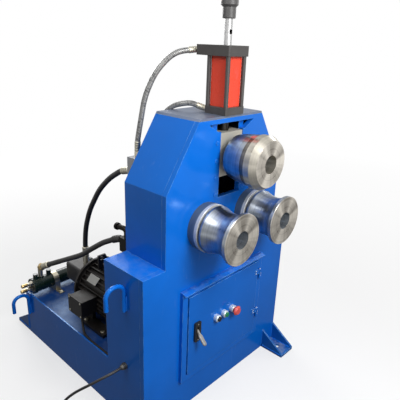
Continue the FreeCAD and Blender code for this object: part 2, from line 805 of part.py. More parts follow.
# Ram cylinder: base flange, square barrel, head with its port block, and the four tie rods
base_half, head_half, barrel_half = base_side / 2, head_side / 2, barrel_side / 2
tie_spots = [(x * tie_place, ram_y + y * tie_place) for x in (-1, 1) for y in (-1, 1)]
tie_holes = [("circle", x, y, tie_end_r) for x, y in tie_spots]
node("cylinder_base", slab("flat", [
    round_rim(-base_half, base_half, ram_y - base_half, ram_y + base_half, 4),
    ("circle", 0, ram_y, rod_r + running)] + tie_holes, (crown_height, base_top)))
node("cylinder_barrel", slab("flat", [
    round_rim(-barrel_half, barrel_half, ram_y - barrel_half, ram_y + barrel_half, 5),
    ("circle", 0, ram_y, barrel_bore)], (base_top, head_bottom)))
head = slab("flat", [
    round_rim(-head_half, head_half, ram_y - head_half, ram_y + head_half, 4),
    ("circle", 0, ram_y, tail_r + running)], (head_bottom, head_top))
sockets = [rod("z", tie_end_r, (head_bottom - 1, head_bottom + tie_depth), spot) for spot in tie_spots]
port = block((-head_half, port_width - head_half),
             (ram_y + head_half - 4, ram_y + head_half + port_length), (head_bottom, head_top))
node("cylinder_head", cut(joined_solid(head, port), *sockets))
node("tie_rods", group(*[turned("z", [
    (0, crown_height), (tie_end_r, crown_height), (tie_end_r, base_top), (tie_r, base_top),
    (tie_r, head_bottom), (tie_end_r, head_bottom), (tie_end_r, head_bottom + tie_depth),
    (0, head_bottom + tie_depth)], spot)
    for spot in tie_spots]))

# Gear case on the rear plate, its cover and the drive motor of the pinion
case_low, case_high = roll_z - case_rise, roll_z + case_rise
case_end = tower_depth + case_depth
case_round = size("case_round", 40)
case_loops = [
    round_rim(-case_half, case_half, case_low, case_high, case_round),
    round_rim(case_wall - case_half, case_half - case_wall, case_low + case_wall, case_high - case_wall,
              case_round - case_wall)]
node("gear_case", slab("front", case_loops, (tower_depth, case_end)))
cover_end = case_end + case_wall
node("gear_cover", slab("front", [
    case_loops[0], ("circle", 0, roll_z, pinion_shaft + 2)], (case_end, cover_end)))
motor_end = cover_end + drive_motor_length
drive_flange_r = size("drive_flange_r", 64)
drive_flange = size("drive_flange", 14)
drive_bore = size("drive_bore", pinion_shaft + running)
drive_body = turned("y", [
    (drive_bore, cover_end), (drive_flange_r, cover_end), (drive_flange_r, cover_end + drive_flange),
    (drive_motor_r, cover_end + drive_flange), (drive_motor_r, motor_end - 16), (drive_motor_r - 10, motor_end),
    (0, motor_end), (0, cover_end + 62), (drive_bore, cover_end + 62)], (0, roll_z))
port_pad_half = size("port_pad_half", 32)
port_pad_start = size("port_pad_start", 44)
port_pad_rise = size("port_pad_rise", 14)
pad_y = cover_end + port_pad_start
drive_top = roll_z + drive_motor_r + port_pad_rise
port_pad = block((-port_pad_half, port_pad_half), (pad_y, pad_y + 44), (drive_top - 30, drive_top))
node("drive_motor", joined_solid(drive_body, port_pad))

# Valve block above the gear case, its two solenoids and the return block beside the case
valve_right = valve_left + valve_width
valve_top = valve_bottom + valve_height
valve_end = tower_depth + valve_depth
valve_body = block((valve_left, valve_right), (tower_depth, valve_end), (valve_bottom, valve_top))
return_top = return_bottom + return_side
return_end = tower_depth + return_side
return_body = block((return_left, return_left + return_side), (tower_depth, return_end),
                    (return_bottom, return_top))
node("valve_block", group(valve_body, return_body))
coil_z = valve_bottom + valve_height / 2
coils = []
for step in (-1, 1):
    z = coil_z + step * 22
    coil = rod("x", 19, (valve_right, valve_right + 58), (tower_depth + valve_depth / 2, z))
    tip = rod("x", 8, (valve_right + 58, valve_right + 70), (tower_depth + valve_depth / 2, z))
    coils.append(joined_solid(coil, tip))
node("solenoid_coils", group(*coils))


def spokes(hub, outer, thick, count, length):
    """A hub along y with radial ribs or blades, patterned round its axis."""
    body = doc.addObject("PartDesign::Body", "spokes")
    pad(body, "XZ_Plane", [("circle", 0, 0, hub)], length, True)
    rib = pad(body, "XZ_Plane", [rim(hub - 3, outer, -thick / 2, thick / 2)], length, True)
    pattern = body.newObject("PartDesign::PolarPattern", "pattern")
    pattern.Originals = [rib]
    pattern.Axis = ([item for item in body.Origin.OriginFeatures if item.Role == "Y_Axis"][0], [""])
    pattern.Angle = 360
    bind(pattern, "Occurrences", count)
    body.Tip = pattern
    return body


# Electric motor: finned body on cast feet, with its bore and the seat of the terminal box
bore = shaft_r + running
ribbed = move(spokes(motor_core, fin_r, fin_thick, fin_count, motor_rear - motor_front),
              motor_x, motor_front, motor_z)
leg_inner = size("leg_inner", 78)
leg_outer = size("leg_outer", 92)
leg_width = size("leg_width", 20)
sole = size("sole", 14)
cast = [ribbed]
for side in (-1, 1):
    near, far, tip = (motor_x + side * reach for reach in (leg_inner, leg_outer, foot_spread))
    for y in (foot_start + 14, foot_end - 14 - leg_width):
        leg_xs = (near, far) if side > 0 else (far, near)
        cast.append(block(leg_xs, (y, y + leg_width), (deck_top + sole - 4, motor_z - 40)))
    sole_xs = (near, tip) if side > 0 else (tip, near)
    cast.append(block(sole_xs, (foot_start, foot_end), (deck_top, deck_top + sole)))
box_right = box_left + 82
motor_cast = cut(joined_solid(*cast),
                 rod("y", bore, (motor_front - 1, motor_rear + 1), (motor_x, motor_z)),
                 block((box_left, box_right), (box_front, box_rear), (box_bottom, box_top)))
bracket_inset = size("bracket_inset", 66)
bracket_y = size("bracket_y", motor_rear - bracket_inset)
bracket_low = motor_z + fin_r
bracket_z = bracket_low + 40
bracket = slab("front", [
    [(motor_x - 42, bracket_low), (motor_x + 12, bracket_low), (motor_x + 12, bracket_low + 22),
     (motor_x - 6, bracket_low + 62), (motor_x - 42, bracket_low + 62)],
    ("circle", motor_x - 26, bracket_z + 8, 9), ("circle", motor_x - 12, bracket_z - 22, 9)],
    (bracket_y, bracket_y + 8))
node("electric_motor", group(motor_cast, bracket))

# Motor covers: the drive flange and the fan cowl with its grille
flange = turned("y", [
    (bore, motor_rear), (fin_r - 4, motor_rear), (fin_r - 4, motor_rear + 4), (flange_r, motor_rear + 4),
    (flange_r, motor_rear + flange_thick), (bore, motor_rear + flange_thick)], (motor_x, motor_z))
shell = turned("y", [
    (cowl_r - cowl_wall, cowl_front + cowl_wall), (cowl_r - cowl_wall, motor_front), (cowl_r, motor_front),
    (cowl_r, cowl_front + 8), (cowl_r - 8, cowl_front), (cowl_r - 14, cowl_front),
    (cowl_r - 14, cowl_front + cowl_wall)], (motor_x, motor_z))
grille = [("circle", motor_x, motor_z, cowl_r - 14)]
for circle, count in ((42, 9), (68, 14)):
    for step in range(count):
        turn = 2 * math.pi * step / count
        grille.append(("circle", motor_x + circle * math.cos(turn), motor_z + circle * math.sin(turn), 9))
cowl = joined_solid(shell, slab("front", grille, (cowl_front, cowl_front + cowl_wall)))
node("motor_covers", group(flange, cowl))

# Rotor: one shaft through to the pump, with the fan at its front end
fan_inset = size("fan_inset", 16)
fan_y = size("fan_y", cowl_front + fan_inset)
fan_length = size("fan_length", 24)
bell_front = motor_rear + flange_thick
pump_front = bell_front + bell_length
fan = move(spokes(shaft_r + 9, fan_r, as_size(3), as_size(7), fan_length), motor_x, fan_y, motor_z)
node("motor_rotor", joined_solid(fan, rod("y", shaft_r, (fan_y - 4, pump_front + 16), (motor_x, motor_z))))

# Terminal box with its lid and the motor cable down to the deck
lid = block((box_left, box_left + 8), (box_front, box_rear), (box_bottom, box_top))
case = block((box_left + 8, box_right), (box_front + 4, box_rear - 4), (box_bottom + 4, box_top - 4))
entry = rod("z", 9, (box_bottom - 8, box_bottom + 4), (box_left + 26, box_front + 44))
lead_x = skin - half + 8
lead = bent_bar([
    (box_left + 26, box_front + 44, box_bottom - 8), (box_left + 24, box_front + 38, box_bottom - 38),
    (box_left + 8, box_front + 4, deck_top + 9), (lead_x, box_front - 50, deck_top + 6),
    (lead_x, tower_depth, deck_top + 6)], cable_r, 40)
node("terminal_box", group(joined_solid(lid, case, entry), lead))

# Blank rating plate, flat against the fin tips at 45 degrees
plate_length = size("plate_length", 62)
plate_width = size("plate_width", 36)
plate_inset = size("plate_inset", 31)
tag = doc.addObject("Part::Box", "tag")
bind(tag, "Length", plate_width)
bind(tag, "Width", plate_length)
tag.Height = 1.5
slant = math.sqrt(0.5)
move(tag, motor_x - slant * fin_r - slant * plate_width / 2, box_front + plate_inset,
     motor_z + slant * fin_r - slant * plate_width / 2, FreeCAD.Rotation(V(0, 1, 0), -45))
node("nameplate", tag)

# Bell housing and gear pump with its suction pipe
node("bell_housing", turned("y", [
    (fin_r - 22, bell_front), (fin_r - 10, bell_front), (fin_r - 10, bell_front + 10),
    (pump_side * 0.7, pump_front - 14), (pump_side * 0.7, pump_front), (shaft_r + 5, pump_front),
    (shaft_r + 5, pump_front - 8), (pump_side * 0.58, pump_front - 14), (fin_r - 22, bell_front + 10),
], (motor_x, motor_z)))
pump_half = pump_side / 2
pump_end = pump_front + pump_length
pump_shape = round_rim(motor_x - pump_half, motor_x + pump_half, motor_z - pump_half, motor_z + pump_half, 12)
pump_body = slab("front", [pump_shape, ("circle", motor_x, motor_z, bore)], (pump_front, pump_front + 20))
pump_back = slab("front", [pump_shape], (pump_front + 20, pump_end))
pump_cover = rod("y", pump_half - 9, (pump_end, pump_end + 12), (motor_x, motor_z))
suction = rod("z", suction_r, (deck_top - 60, motor_z - pump_half), (motor_x, suction_y))
node("gear_pump", group(joined_solid(pump_body, pump_back, pump_cover), suction))

# Oil cooler: tube, end caps, blanked ports on top and the boss of the return elbow
cooler_right = cooler_left + cooler_length
cooler_top = cooler_z + cooler_r
elbow_x = size("elbow_x", -352)
tube = rod("x", cooler_r, (cooler_left, cooler_right), (cooler_y, cooler_z))
caps = [rod("x", cooler_cap_r, (x, x + 15), (cooler_y, cooler_z)) for x in (cooler_left, cooler_right - 15)]
stubs = [rod("z", 11, (cooler_z, cooler_top + 24), (cooler_left + place, cooler_y)) for place in (22, 88)]
boss = rod("z", 14, (cooler_z, cooler_top + 7), (elbow_x, cooler_y))
node("oil_cooler", joined_solid(tube, boss, *caps, *stubs))

# Zinc clamps with a bolted foot, the water fittings at the left end and the return elbow
clamps = []
for step in range(2):
    x = clamp_first + step * clamp_pitch
    xs = (x, x + clamp_width)
    saddle = block(xs, (cooler_y - cooler_r - 5, cooler_y + cooler_r + 5), (deck_top, cooler_z))
    strap = rod("x", cooler_r + 3, xs, (cooler_y, cooler_z))
    heel = block(xs, (cooler_y - cooler_r - 42, cooler_y - cooler_r), (deck_top, deck_top + 4))
    heel = cut(heel, rod("z", 5, (deck_top - 1, deck_top + 5), (x + clamp_width / 2, cooler_y - cooler_r - 26)))
    clamps.append(cut(joined_solid(saddle, strap, heel),
                      rod("x", cooler_r, (x - 1, x + clamp_width + 1), (cooler_y, cooler_z))))
for y, z in ((cooler_y - 6, cooler_z + 20), (cooler_y + 6, cooler_z - 13)):
    clamps.append(joined_solid(hexagon("x", 13, (cooler_left - 14, cooler_left), (y, z)),
                               rod("x", 8, (cooler_left - 50, cooler_left - 14), (y, z))))
return_port = (return_left + 24, tower_depth + return_side + 22, return_bottom + 32)
elbow_corner = (elbow_x, cooler_y, cooler_top + 52)
hose_start, *return_way = between(elbow_corner, return_port, (
    (0.316, 0.2733, 0.2557), (0.632, 0.5466, 0.5114), (0.7105, 0.6847, 0.6906), (0.789, 0.8153, 0.8534),
    (0.8947, 0.9254, 0.9577)))
elbow = bent_bar([(elbow_x, cooler_y, cooler_top + 7), elbow_corner, hose_start], hose_r, 24)
node("cooler_fittings", group(*clamps, elbow))

# Hose ends: hexagons on the ports
port_y = valve_end + 22
pressure_end = (valve_left + 28, valve_bottom + 30)
ram_port_x = port_width / 2 - head_half
head_port_y = ram_y + head_half + port_length
base_port_y = ram_y + base_half
drive_y = pad_y + 22
drive_ports = ((valve_left + 70, valve_bottom + 18), (valve_left + 95, valve_bottom + 42))
pump_top = motor_z + pump_half
pressure_x = motor_x + 5
ends = [
    hexagon("y", fitting_r, (valve_end, port_y), pressure_end),
    joined_solid(hexagon("z", fitting_r, (pump_top, pump_top + 18), (pressure_x, pump_port_y)),
                 rod("z", hose_r + 3, (pump_top + 18, pump_top + 46), (pressure_x, pump_port_y))),
    hexagon("y", fitting_r, (return_end, return_port[1]), return_port[::2]),
    hexagon("z", 13, (valve_top, valve_top + 22), (valve_left + 28, valve_end - 26)),
    hexagon("z", 13, (valve_top, valve_top + 22), (valve_left + 82, valve_end - 26)),
    hexagon("y", 13, (head_port_y, head_port_y + 13), (ram_port_x, head_bottom + head_rise / 2)),
    hexagon("y", 12, (base_port_y, base_port_y + 13), (ram_port_x, crown_height + base_rise / 2)),
]
for side, (x, z) in zip((-1, 1), drive_ports):
    ends.append(hexagon("y", 11, (valve_end, valve_end + 14), (x, z)))
    ends.append(hexagon("z", 12, (drive_top, drive_top + 14), (side * 16, drive_y)))
spare_r = size("spare_r", 10)
spare_z = return_top + 34
spare = bent_bar([
    (return_left + 16, return_end - 24, return_top), (return_left + 16, return_end - 24, spare_z),
    (return_left + 10, return_end + 24, spare_z)], spare_r, 18)
spare_cap = rod("y", spare_r + 4, (return_end + 18, return_end + 28), (return_left + 10, spare_z))
ends.append(joined_solid(spare, spare_cap))
node("hose_fittings", group(*ends))

# Rubber hoses: pump to valves, and valves back through the cooler
hose_bend = size("hose_bend", 400)
pump_end_spot = (pressure_x, pump_port_y, pump_top + 46)
valve_spot = (pressure_end[0], port_y, pressure_end[1])
pressure_way = between(pump_end_spot, valve_spot, (
    (0, 0, 0.1446), (0, 0.042, 0.314), (0, 0.159, 0.506), (0, 0.396, 0.7397), (0, 0.631, 0.882),
    (0, 0.85, 0.9752)))
before_valve = (valve_spot[0], port_y + 12, valve_spot[2])
before_return = (return_port[0], return_port[1] + 14, return_port[2])
node("pressure_hose", bent_bar([
    pump_end_spot, *pressure_way, before_valve, valve_spot], hose_r, hose_bend))
node("return_hose", bent_bar([
    hose_start, *return_way, before_return, return_port], hose_r, hose_bend))

# Braided hoses: both ends of the ram, and the drive motor
braid_bend = size("braid_bend", 300)
head_z, base_z = head_bottom + head_rise / 2, crown_height + base_rise / 2
valve_port_y = valve_end - 26
valve_port_z = valve_top + 22
drive_port_z = drive_top + 14
head_spot = (ram_port_x, head_port_y + 13, head_z)
head_socket = (valve_left + 28, valve_port_y, valve_port_z)
head_way = between(head_spot, head_socket, (
    (0.4058, 0.3846, 0.031), (0.7029, 0.6923, 0.2169), (0.8735, 0.8769, 0.4592), (0.9615, 0.9648, 0.7606),
    (1, 1, 0.8958)))
base_spot = (ram_port_x, base_port_y + 13, base_z)
base_socket = (valve_left + 82, valve_port_y, valve_port_z)
base_way = between(base_spot, base_socket, (
    (0.2329, 0.2725, -0.1006), (0.3894, 0.4639, -0.0629), (0.4677, 0.649, -0.0063), (0.5382, 0.8085, 0.1195),
    (0.7025, 0.9234, 0.4088), (1, 1, 0.767)))
head_hose = bent_bar([
    head_spot, (ram_port_x, head_port_y + 21, head_z), *head_way, head_socket], braid_r, braid_bend)
base_hose = bent_bar([
    base_spot, (ram_port_x, base_port_y + 23, base_z), *base_way, base_socket], braid_r, braid_bend)
drive_hoses = []
for side, (x, z), rise in zip((-1, 1), drive_ports, (46, 78)):
    drive_hoses.append(bent_bar([
        (x, valve_end + 14, z), (x, valve_end + 58, z), (side * 16 - 50, drive_y + 14, drive_top + rise),
        (side * 16, drive_y, drive_top + rise - 8), (side * 16, drive_y, drive_port_z)], braid_r, 60))
node("braided_hoses", group(head_hose, base_hose, *drive_hoses))

# Supply cable: gland, free cable, coil and plug
gland_out = 22
gland = turned("x", [
    (0, -half - gland_out), (7, -half - gland_out), (11, -half - gland_out + 8), (11, -half - 8),
    (13, -half - 8), (13, -half), (gland_bore, -half), (gland_bore, skin - half + 4), (0, skin - half + 4),
], (gland_y, gland_z))
node("cable_gland", gland)
cable_exit = (-half - gland_out, gland_y, gland_z)
cable_route = [
    cable_exit, (-470, 103, 258), (-508, 117, 248), (-538, 145, 222), (-556, 180, 190), (-567, 217, 152),
    (-574, 252, 110), (-582, 279, 68), (-598, 291, 33), (-627, 291, 11), (-660, 281, 7), (-690, 254, 8),
    (-704, 224, 11), (coil_x - loose_end, coil_y + 36.9, 15)]
node("power_cable", bent_bar(cable_route, cable_r))
coil = doc.addObject("Part::Torus", "coil")
bind(coil, "Radius1", coil_mean_r)
bind(coil, "Radius2", coil_bundle_r)
move(coil, coil_x, coil_y, coil_bundle_r)
node("cable_coil", coil)
plug_x = coil_x - loose_end
plug_end = coil_y - 39.3
node("supply_plug", turned("y", [
    (0, plug_end - 66), (21, plug_end - 66), (21, plug_end - 34), (26, plug_end - 34), (26, plug_end - 24),
    (20, plug_end - 18), (9, plug_end - 10), (9, plug_end), (0, plug_end)], (plug_x, 26)))

# Slide block with its tongues and shaft bearings
block_half = slide_half
outline = [
    (-block_half, slide_front), (block_half, slide_front), (block_half, tongue_front),
    (block_half + tongue_reach, tongue_front), (block_half + tongue_reach, tongue_front + tongue_width),
    (block_half, tongue_front + tongue_width), (block_half, slide_rear), (-block_half, slide_rear),
    (-block_half, tongue_front + tongue_width), (-block_half - tongue_reach, tongue_front + tongue_width),
    (-block_half - tongue_reach, tongue_front), (-block_half, tongue_front)]
slide_body = cut(slab("flat", [outline], (slide_bottom, slide_top)),
                 rod("y", rear_bearing_r, (slide_front - 1, slide_rear + 1), (0, upper_z)),
                 rod("z", rod_r, (slide_top - 24, slide_top + 1), (0, ram_y)))
slide_races = [bearing(rear_bearing_r, journal + running, ends, (0, upper_z))
               for ends in ((slide_front, slide_front + 32), (slide_rear - 32, slide_rear))]
node("slide_block", group(slide_body, *slide_races))

# Ram rod: lower rod, piston and through rod with its key slot
piston_low = base_top + piston_place
piston_high = piston_low + piston_thick
nut_low = head_top + nut_gap
nut_top = nut_low + nut_height
rod_body = turned("z", [
    (0, slide_top - 24), (rod_r, slide_top - 24), (rod_r, piston_low), (barrel_bore - running, piston_low),
    (barrel_bore - running, piston_high), (tail_r, piston_high), (tail_r, nut_top - 12), (0, nut_top - 12),
], (0, ram_y))
key_low = head_top + key_rise
key = block((-key_half, key_half), (ram_y - tail_r - 1, ram_y + tail_r + 1), (key_low, key_low + key_height))
node("ram_rod", cut(rod_body, key))

# Stop nut: narrow lower stage and wide cap with rounded edges
nut_wide = nut_low + nut_lower
node("stop_nut", turned("z", [
    (tail_r + running, nut_low), (nut_lower_r - 2, nut_low), (nut_lower_r, nut_low + 2),
    (nut_lower_r, nut_wide - 4), (nut_upper_r - 3, nut_wide), (nut_upper_r, nut_wide + 3),
    (nut_upper_r, nut_top - 8), (nut_upper_r - 3, nut_top - 3), (nut_upper_r - 8, nut_top - 2),
    (nut_upper_r - 8, nut_top), (0, nut_top), (0, nut_top - 11.5), (tail_r + running, nut_top - 11.5),
], (0, ram_y)))

# Upper shaft, and the roll made of a crowned barrel and a bevelled front ring
shaft_front = roll_recess - roll_front
shoulder = size("shoulder", 45)
node("upper_shaft", turned("y", [
    (0, shaft_front), (roll_bore - 2, shaft_front), (roll_bore, shaft_front + 2),
    (roll_bore, -upper_roll_rear),
    (shoulder, -upper_roll_rear), (shoulder, slide_front - 0.5), (journal, slide_front - 0.5),
    (journal, slide_rear + 0.5), (journal + 7, slide_rear + 0.5), (journal + 7, slide_rear + 12),
    (0, slide_rear + 12)], (0, upper_z)))
seam = size("seam", 3)
crown_reach = upper_seam - upper_roll_rear
crown_gain = upper_big_r - upper_small_r
crown_bend = (crown_reach * crown_reach + crown_gain * crown_gain) / (2 * crown_gain)
barrel = turned("y", [
    (roll_bore, -upper_seam), (upper_big_r, -upper_seam, size("crown_bend", crown_bend)),
    (upper_small_r, -upper_roll_rear), (roll_bore, -upper_roll_rear)], (0, upper_z))
ring_piece = turned("y", [
    (roll_bore, -roll_front), (upper_face_r, -roll_front), (upper_ring_r, -upper_bevel_y),
    (upper_ring_r, -upper_seam - seam), (upper_big_r - 6, -upper_seam - seam),
    (upper_big_r - 6, -upper_seam), (roll_bore, -upper_seam)], (0, upper_z))
node("upper_roll", group(barrel, ring_piece))

# Lower shafts, rolls and bull gears
waist_fall = lower_roll_r - waist_r
rear_run = waist_y - lower_roll_rear - 9
rear_bend = size("rear_bend", (rear_run * rear_run + waist_fall * waist_fall) / (2 * waist_fall))
rim_rise = rim_r - waist_r
rim_run = rim_y - waist_y
rim_bend = size("rim_bend", (rim_run * rim_run + rim_rise * rim_rise) / (2 * rim_rise))
gear_end = gear_start + gear_width


def lower_shaft(x):
    """A lower shaft with its roll seat, shoulder, journals and gear seat."""
    return turned("y", [
        (0, shaft_front), (roll_bore - 2, shaft_front), (roll_bore, shaft_front + 2),
        (roll_bore, -lower_roll_rear), (collar_r, -lower_roll_rear),
        (collar_r, collar_thick - lower_roll_rear),
        (journal + 5, collar_thick - lower_roll_rear), (journal + 5, -0.5), (journal, -0.5),
        (journal, front_thick + housing_depth + 60), (rear_journal, front_thick + housing_depth + 60),
        (rear_journal, tower_depth + 2), (gear_seat, tower_depth + 2), (gear_seat, gear_end + 3),
        (0, gear_end + 3)], (x, roll_z))


def lower_roll(x):
    """A lower roll: barrel narrowing to a waist and flaring to the front rim."""
    return turned("y", [
        (roll_bore, -roll_front), (rim_r - 1, -roll_front), (rim_r, 1 - roll_front),
        (rim_r, -rim_y, -rim_bend), (waist_r, -waist_y, -rear_bend),
        (lower_roll_r, -lower_roll_rear - 9), (lower_roll_r, -lower_roll_rear - 2),
        (lower_roll_r - 2, -lower_roll_rear), (roll_bore, -lower_roll_rear)], (x, roll_z))


def spur_gear(teeth, shares, shaft_bore, x, turn):
    """A spur gear: root disc and one tooth, patterned round its axis.

    shares gives the tooth's half widths at the root, pitch and tip circles in modules, and
    turn is the angle of its first tooth in degrees.
    """
    root_r = gear_module * (teeth / 2 - 1.25)
    pitch_r = gear_module * teeth / 2
    tip_r = gear_module * (teeth / 2 + 0.92)
    low, middle, high = (share * gear_module for share in shares)
    body = doc.addObject("PartDesign::Body", "gear")
    pad(body, "XZ_Plane", [("circle", 0, 0, root_r)] + shaft_bore, gear_width, True)
    flank_r, flank = pitch_r - gear_module * 0.5, (low + middle) / 2 + 0.1
    tooth = pad(body, "XZ_Plane", [[
        (root_r - 1, -low), (flank_r, -flank), (pitch_r, -middle), (tip_r, -high),
        (tip_r, high), (pitch_r, middle), (flank_r, flank), (root_r - 1, low)]], gear_width, True)
    pattern = body.newObject("PartDesign::PolarPattern", "teeth")
    pattern.Originals = [tooth]
    pattern.Axis = ([item for item in body.Origin.OriginFeatures if item.Role == "Y_Axis"][0], [""])
    pattern.Angle = 360
    bind(pattern, "Occurrences", teeth)
    body.Tip = pattern
    return move(body, x, gear_start, roll_z, FreeCAD.Rotation(V(0, 1, 0), turn))


bull_shares = (1.06, 0.72, 0.38)
pinion_shares = (0.98, 0.72, 0.32)
seat = [("circle", 0, 0, gear_seat)]
for name, side, turn in (("left", -1, 0), ("right", 1, 4)):
    x = side * roll_x
    node(name + "_shaft", lower_shaft(x))
    node(name + "_roll", lower_roll(x))
    node(name + "_gear", spur_gear(bull_teeth, bull_shares, seat, x, turn))
pinion_gear = spur_gear(pinion_teeth, pinion_shares, [], as_size(0), 10)
pinion_bar = rod("y", pinion_shaft, (gear_start - 4, cover_end + 60), (0, roll_z))
node("drive_pinion", joined_solid(pinion_gear, pinion_bar))

# Door: a folded pan with cut-outs for the switches, and the moving halves of the hinges
face_y = -surround_depth - door_proud
fold_y = face_y + door_fold
shank_r = size("shank_r", 12.5)
slot_half = lever_width / 2 + 1
pan_face = slab("front", [
    rim(-door_half, door_half, door_bottom, door_top),
    ("circle", black_x, button_z, shank_r), ("circle", green_x, button_z, shank_r),
    ("circle", stop_x, button_z, shank_r),
    rim(isolator_x - slot_half, isolator_x + slot_half, isolator_z - 14, isolator_z + 22)],
    (face_y, face_y + door_sheet))
pan_fold = slab("front", [
    rim(-door_half, door_half, door_bottom, door_top),
    rim(door_sheet - door_half, door_half - door_sheet, door_bottom + door_sheet, door_top - door_sheet)],
    (face_y + door_sheet, fold_y))
moving_hinges = []
for low in (lower_hinge, upper_hinge):
    middle = low + hinge_length / 2
    leaf = block((door_half - 20, hinge_x - 2), (face_y - 3, face_y), (middle, low + hinge_length))
    barrel = cut(joined_solid(leaf, rod("z", hinge_bar, (middle, low + hinge_length), (hinge_x, hinge_y))),
                 rod("z", hinge_pin + running, (middle - 1, low + hinge_length + 1), (hinge_x, hinge_y)))
    moving_hinges.append(barrel)
node("door_panel", group(joined_solid(pan_face, pan_fold), *moving_hinges))

# Bezels of the three buttons
bezel_front = face_y - bezel_proud
shank_end = face_y + 12
bezels = [turned("y", [
    (button_bore, bezel_front), (bezel_r - 3, bezel_front), (bezel_r, bezel_front + 3), (bezel_r, face_y),
    (shank_r, face_y), (shank_r, shank_end), (button_bore, shank_end)], (x, button_z))
    for x in (black_x, green_x, stop_x)]
node("button_bezels", group(*bezels))

# Isolator body outside and the contact blocks behind the buttons
base_front = face_y - isolator_proud
pivot_y = face_y - 4
pivot_z = isolator_z + 4
iso_half, iso_rise = isolator_width / 2, isolator_height / 2
iso = slab("front", [
    round_rim(isolator_x - iso_half, isolator_x + iso_half, isolator_z - iso_rise, isolator_z + iso_rise, 3),
    rim(isolator_x - slot_half, isolator_x + slot_half, isolator_z - 14, isolator_z + 22)], (base_front, face_y))
pivot_reach = slot_half + 5
pivot_bore = size("pivot_bore", 2.05)
iso = cut(iso, rod("x", pivot_bore, (isolator_x - pivot_reach, isolator_x + pivot_reach), (pivot_y, pivot_z)))
contacts = [block((x - 13, x + 13), (shank_end, shank_end + 28), (button_z - 15, button_z + 15))
            for x in (black_x, green_x, stop_x)]
node("switch_blocks", group(iso, *contacts))

# Isolator lever at 45 degrees, on its pivot
dip = math.sqrt(0.5)
root_y, root_z = pivot_y, pivot_z
tip_y, tip_z = root_y - dip * lever_length, root_z - dip * lever_length
lever = slab("side", [[
    (root_y - dip * 4, root_z + dip * 4), (tip_y - dip * 3, tip_z + dip * 3),
    (tip_y - dip * 1, tip_z - dip * 3), (tip_y + dip * 4, tip_z - dip * 4), (root_y + dip * 4, root_z - dip * 4)]],
    (isolator_x - lever_width / 2, isolator_x + lever_width / 2))
hub = rod("x", 4.5, (isolator_x - lever_width / 2, isolator_x + lever_width / 2), (pivot_y, pivot_z))
axle = rod("x", pivot_bore - running, (isolator_x - pivot_reach + 1, isolator_x + pivot_reach - 1),
           (pivot_y, pivot_z))
node("isolator_lever", joined_solid(lever, hub, axle))


def push_button(x, head):
    """A button in its bezel: a flush cap, or a mushroom head."""
    stem_end = shank_end - 6
    if head:
        return turned("y", [
            (0, bezel_front - 20), (mushroom_r - 6, bezel_front - 20), (mushroom_r, bezel_front - 14),
            (mushroom_r, bezel_front - 10), (mushroom_r - 7, bezel_front - 6), (button_r, bezel_front - 6),
            (button_r, stem_end), (0, stem_end)], (x, button_z))
    return turned("y", [
        (0, bezel_front - 6), (button_r - 1.5, bezel_front - 6), (button_r, bezel_front - 4.5),
        (button_r, stem_end), (0, stem_end)], (x, button_z))


node("black_button", push_button(black_x, False))
node("green_button", push_button(green_x, False))
node("stop_button", push_button(stop_x, True))

# Filler cap on its neck
cap_gap = 0.4
cap_low = deck_top + 12
cap_top = neck_top + 18
node("filler_cap", turned("z", [
    (0, neck_top + cap_gap), (filler_r + cap_gap, neck_top + cap_gap), (filler_r + cap_gap, cap_low),
    (filler_r + 6, cap_low), (filler_r + 8, cap_low + 3), (filler_r + 8, cap_top - 4),
    (filler_r + 4, cap_top), (0, cap_top)], (filler_x, filler_y)))

doc.recompute()

# Every object has to be sound before anything is written
for thing in doc.Objects:
    if "Invalid" in thing.State or "Error" in thing.State:
        raise SystemExit("%s (%s) did not compute" % (thing.Name, thing.Label))
os.makedirs("parts", exist_ok=True)
for thing in nodes:
    shape = thing.Shape
    if shape.isNull() or not shape.isValid() or not shape.Solids or shape.Volume <= 0:
        raise SystemExit("%s has no sound shape" % thing.Label)
    shape.exportStep("parts/%s.step" % thing.Label)
print(len(nodes), "sub-parts")
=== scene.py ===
import json
import math

import bmesh
import bpy
import numpy as np
from mathutils import Matrix, Vector


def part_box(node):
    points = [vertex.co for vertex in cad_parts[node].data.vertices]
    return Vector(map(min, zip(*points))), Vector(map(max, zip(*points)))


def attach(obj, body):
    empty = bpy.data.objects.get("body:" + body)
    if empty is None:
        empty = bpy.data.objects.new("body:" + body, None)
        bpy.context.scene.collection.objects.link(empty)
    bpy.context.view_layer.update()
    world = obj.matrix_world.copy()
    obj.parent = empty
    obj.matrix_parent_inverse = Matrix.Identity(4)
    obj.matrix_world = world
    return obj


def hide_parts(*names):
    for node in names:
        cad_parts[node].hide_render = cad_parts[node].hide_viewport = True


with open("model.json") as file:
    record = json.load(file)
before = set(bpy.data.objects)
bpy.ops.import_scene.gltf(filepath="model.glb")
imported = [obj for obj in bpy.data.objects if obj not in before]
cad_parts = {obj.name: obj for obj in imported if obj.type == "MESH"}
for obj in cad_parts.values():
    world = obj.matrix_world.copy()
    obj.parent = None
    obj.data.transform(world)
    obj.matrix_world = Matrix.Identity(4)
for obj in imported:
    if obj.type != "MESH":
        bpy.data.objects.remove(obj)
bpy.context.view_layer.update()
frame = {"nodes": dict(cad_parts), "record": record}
nodes = frame["nodes"]

# Places are given in millimetres and turned into metres of the frame
MM = 0.001
front_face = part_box("front_plate")[0][1]

# Places on the part in millimetres: x from the middle, y from the front plate's face, z from the floor
roll_x, roll_z = 126, 766
upper_roll_z = 1002
ram_y = 43
crown_z = 1144
hollow_y = (21, 197)
wall_x, rear_wall_y = 410, 874
motor_x, motor_z = -220, 339
cooler_y, cooler_z = 826, 266
cap_x, cap_y = 270, 690
isolator_x = -165
pressure_x = -215
plug_x, plug_z = -705, 26

# Ways along the axes, seen from the front
LEFT, BACK, FRONT, UP = (-1, 0, 0), (0, 1, 0), (0, -1, 0), (0, 0, 1)


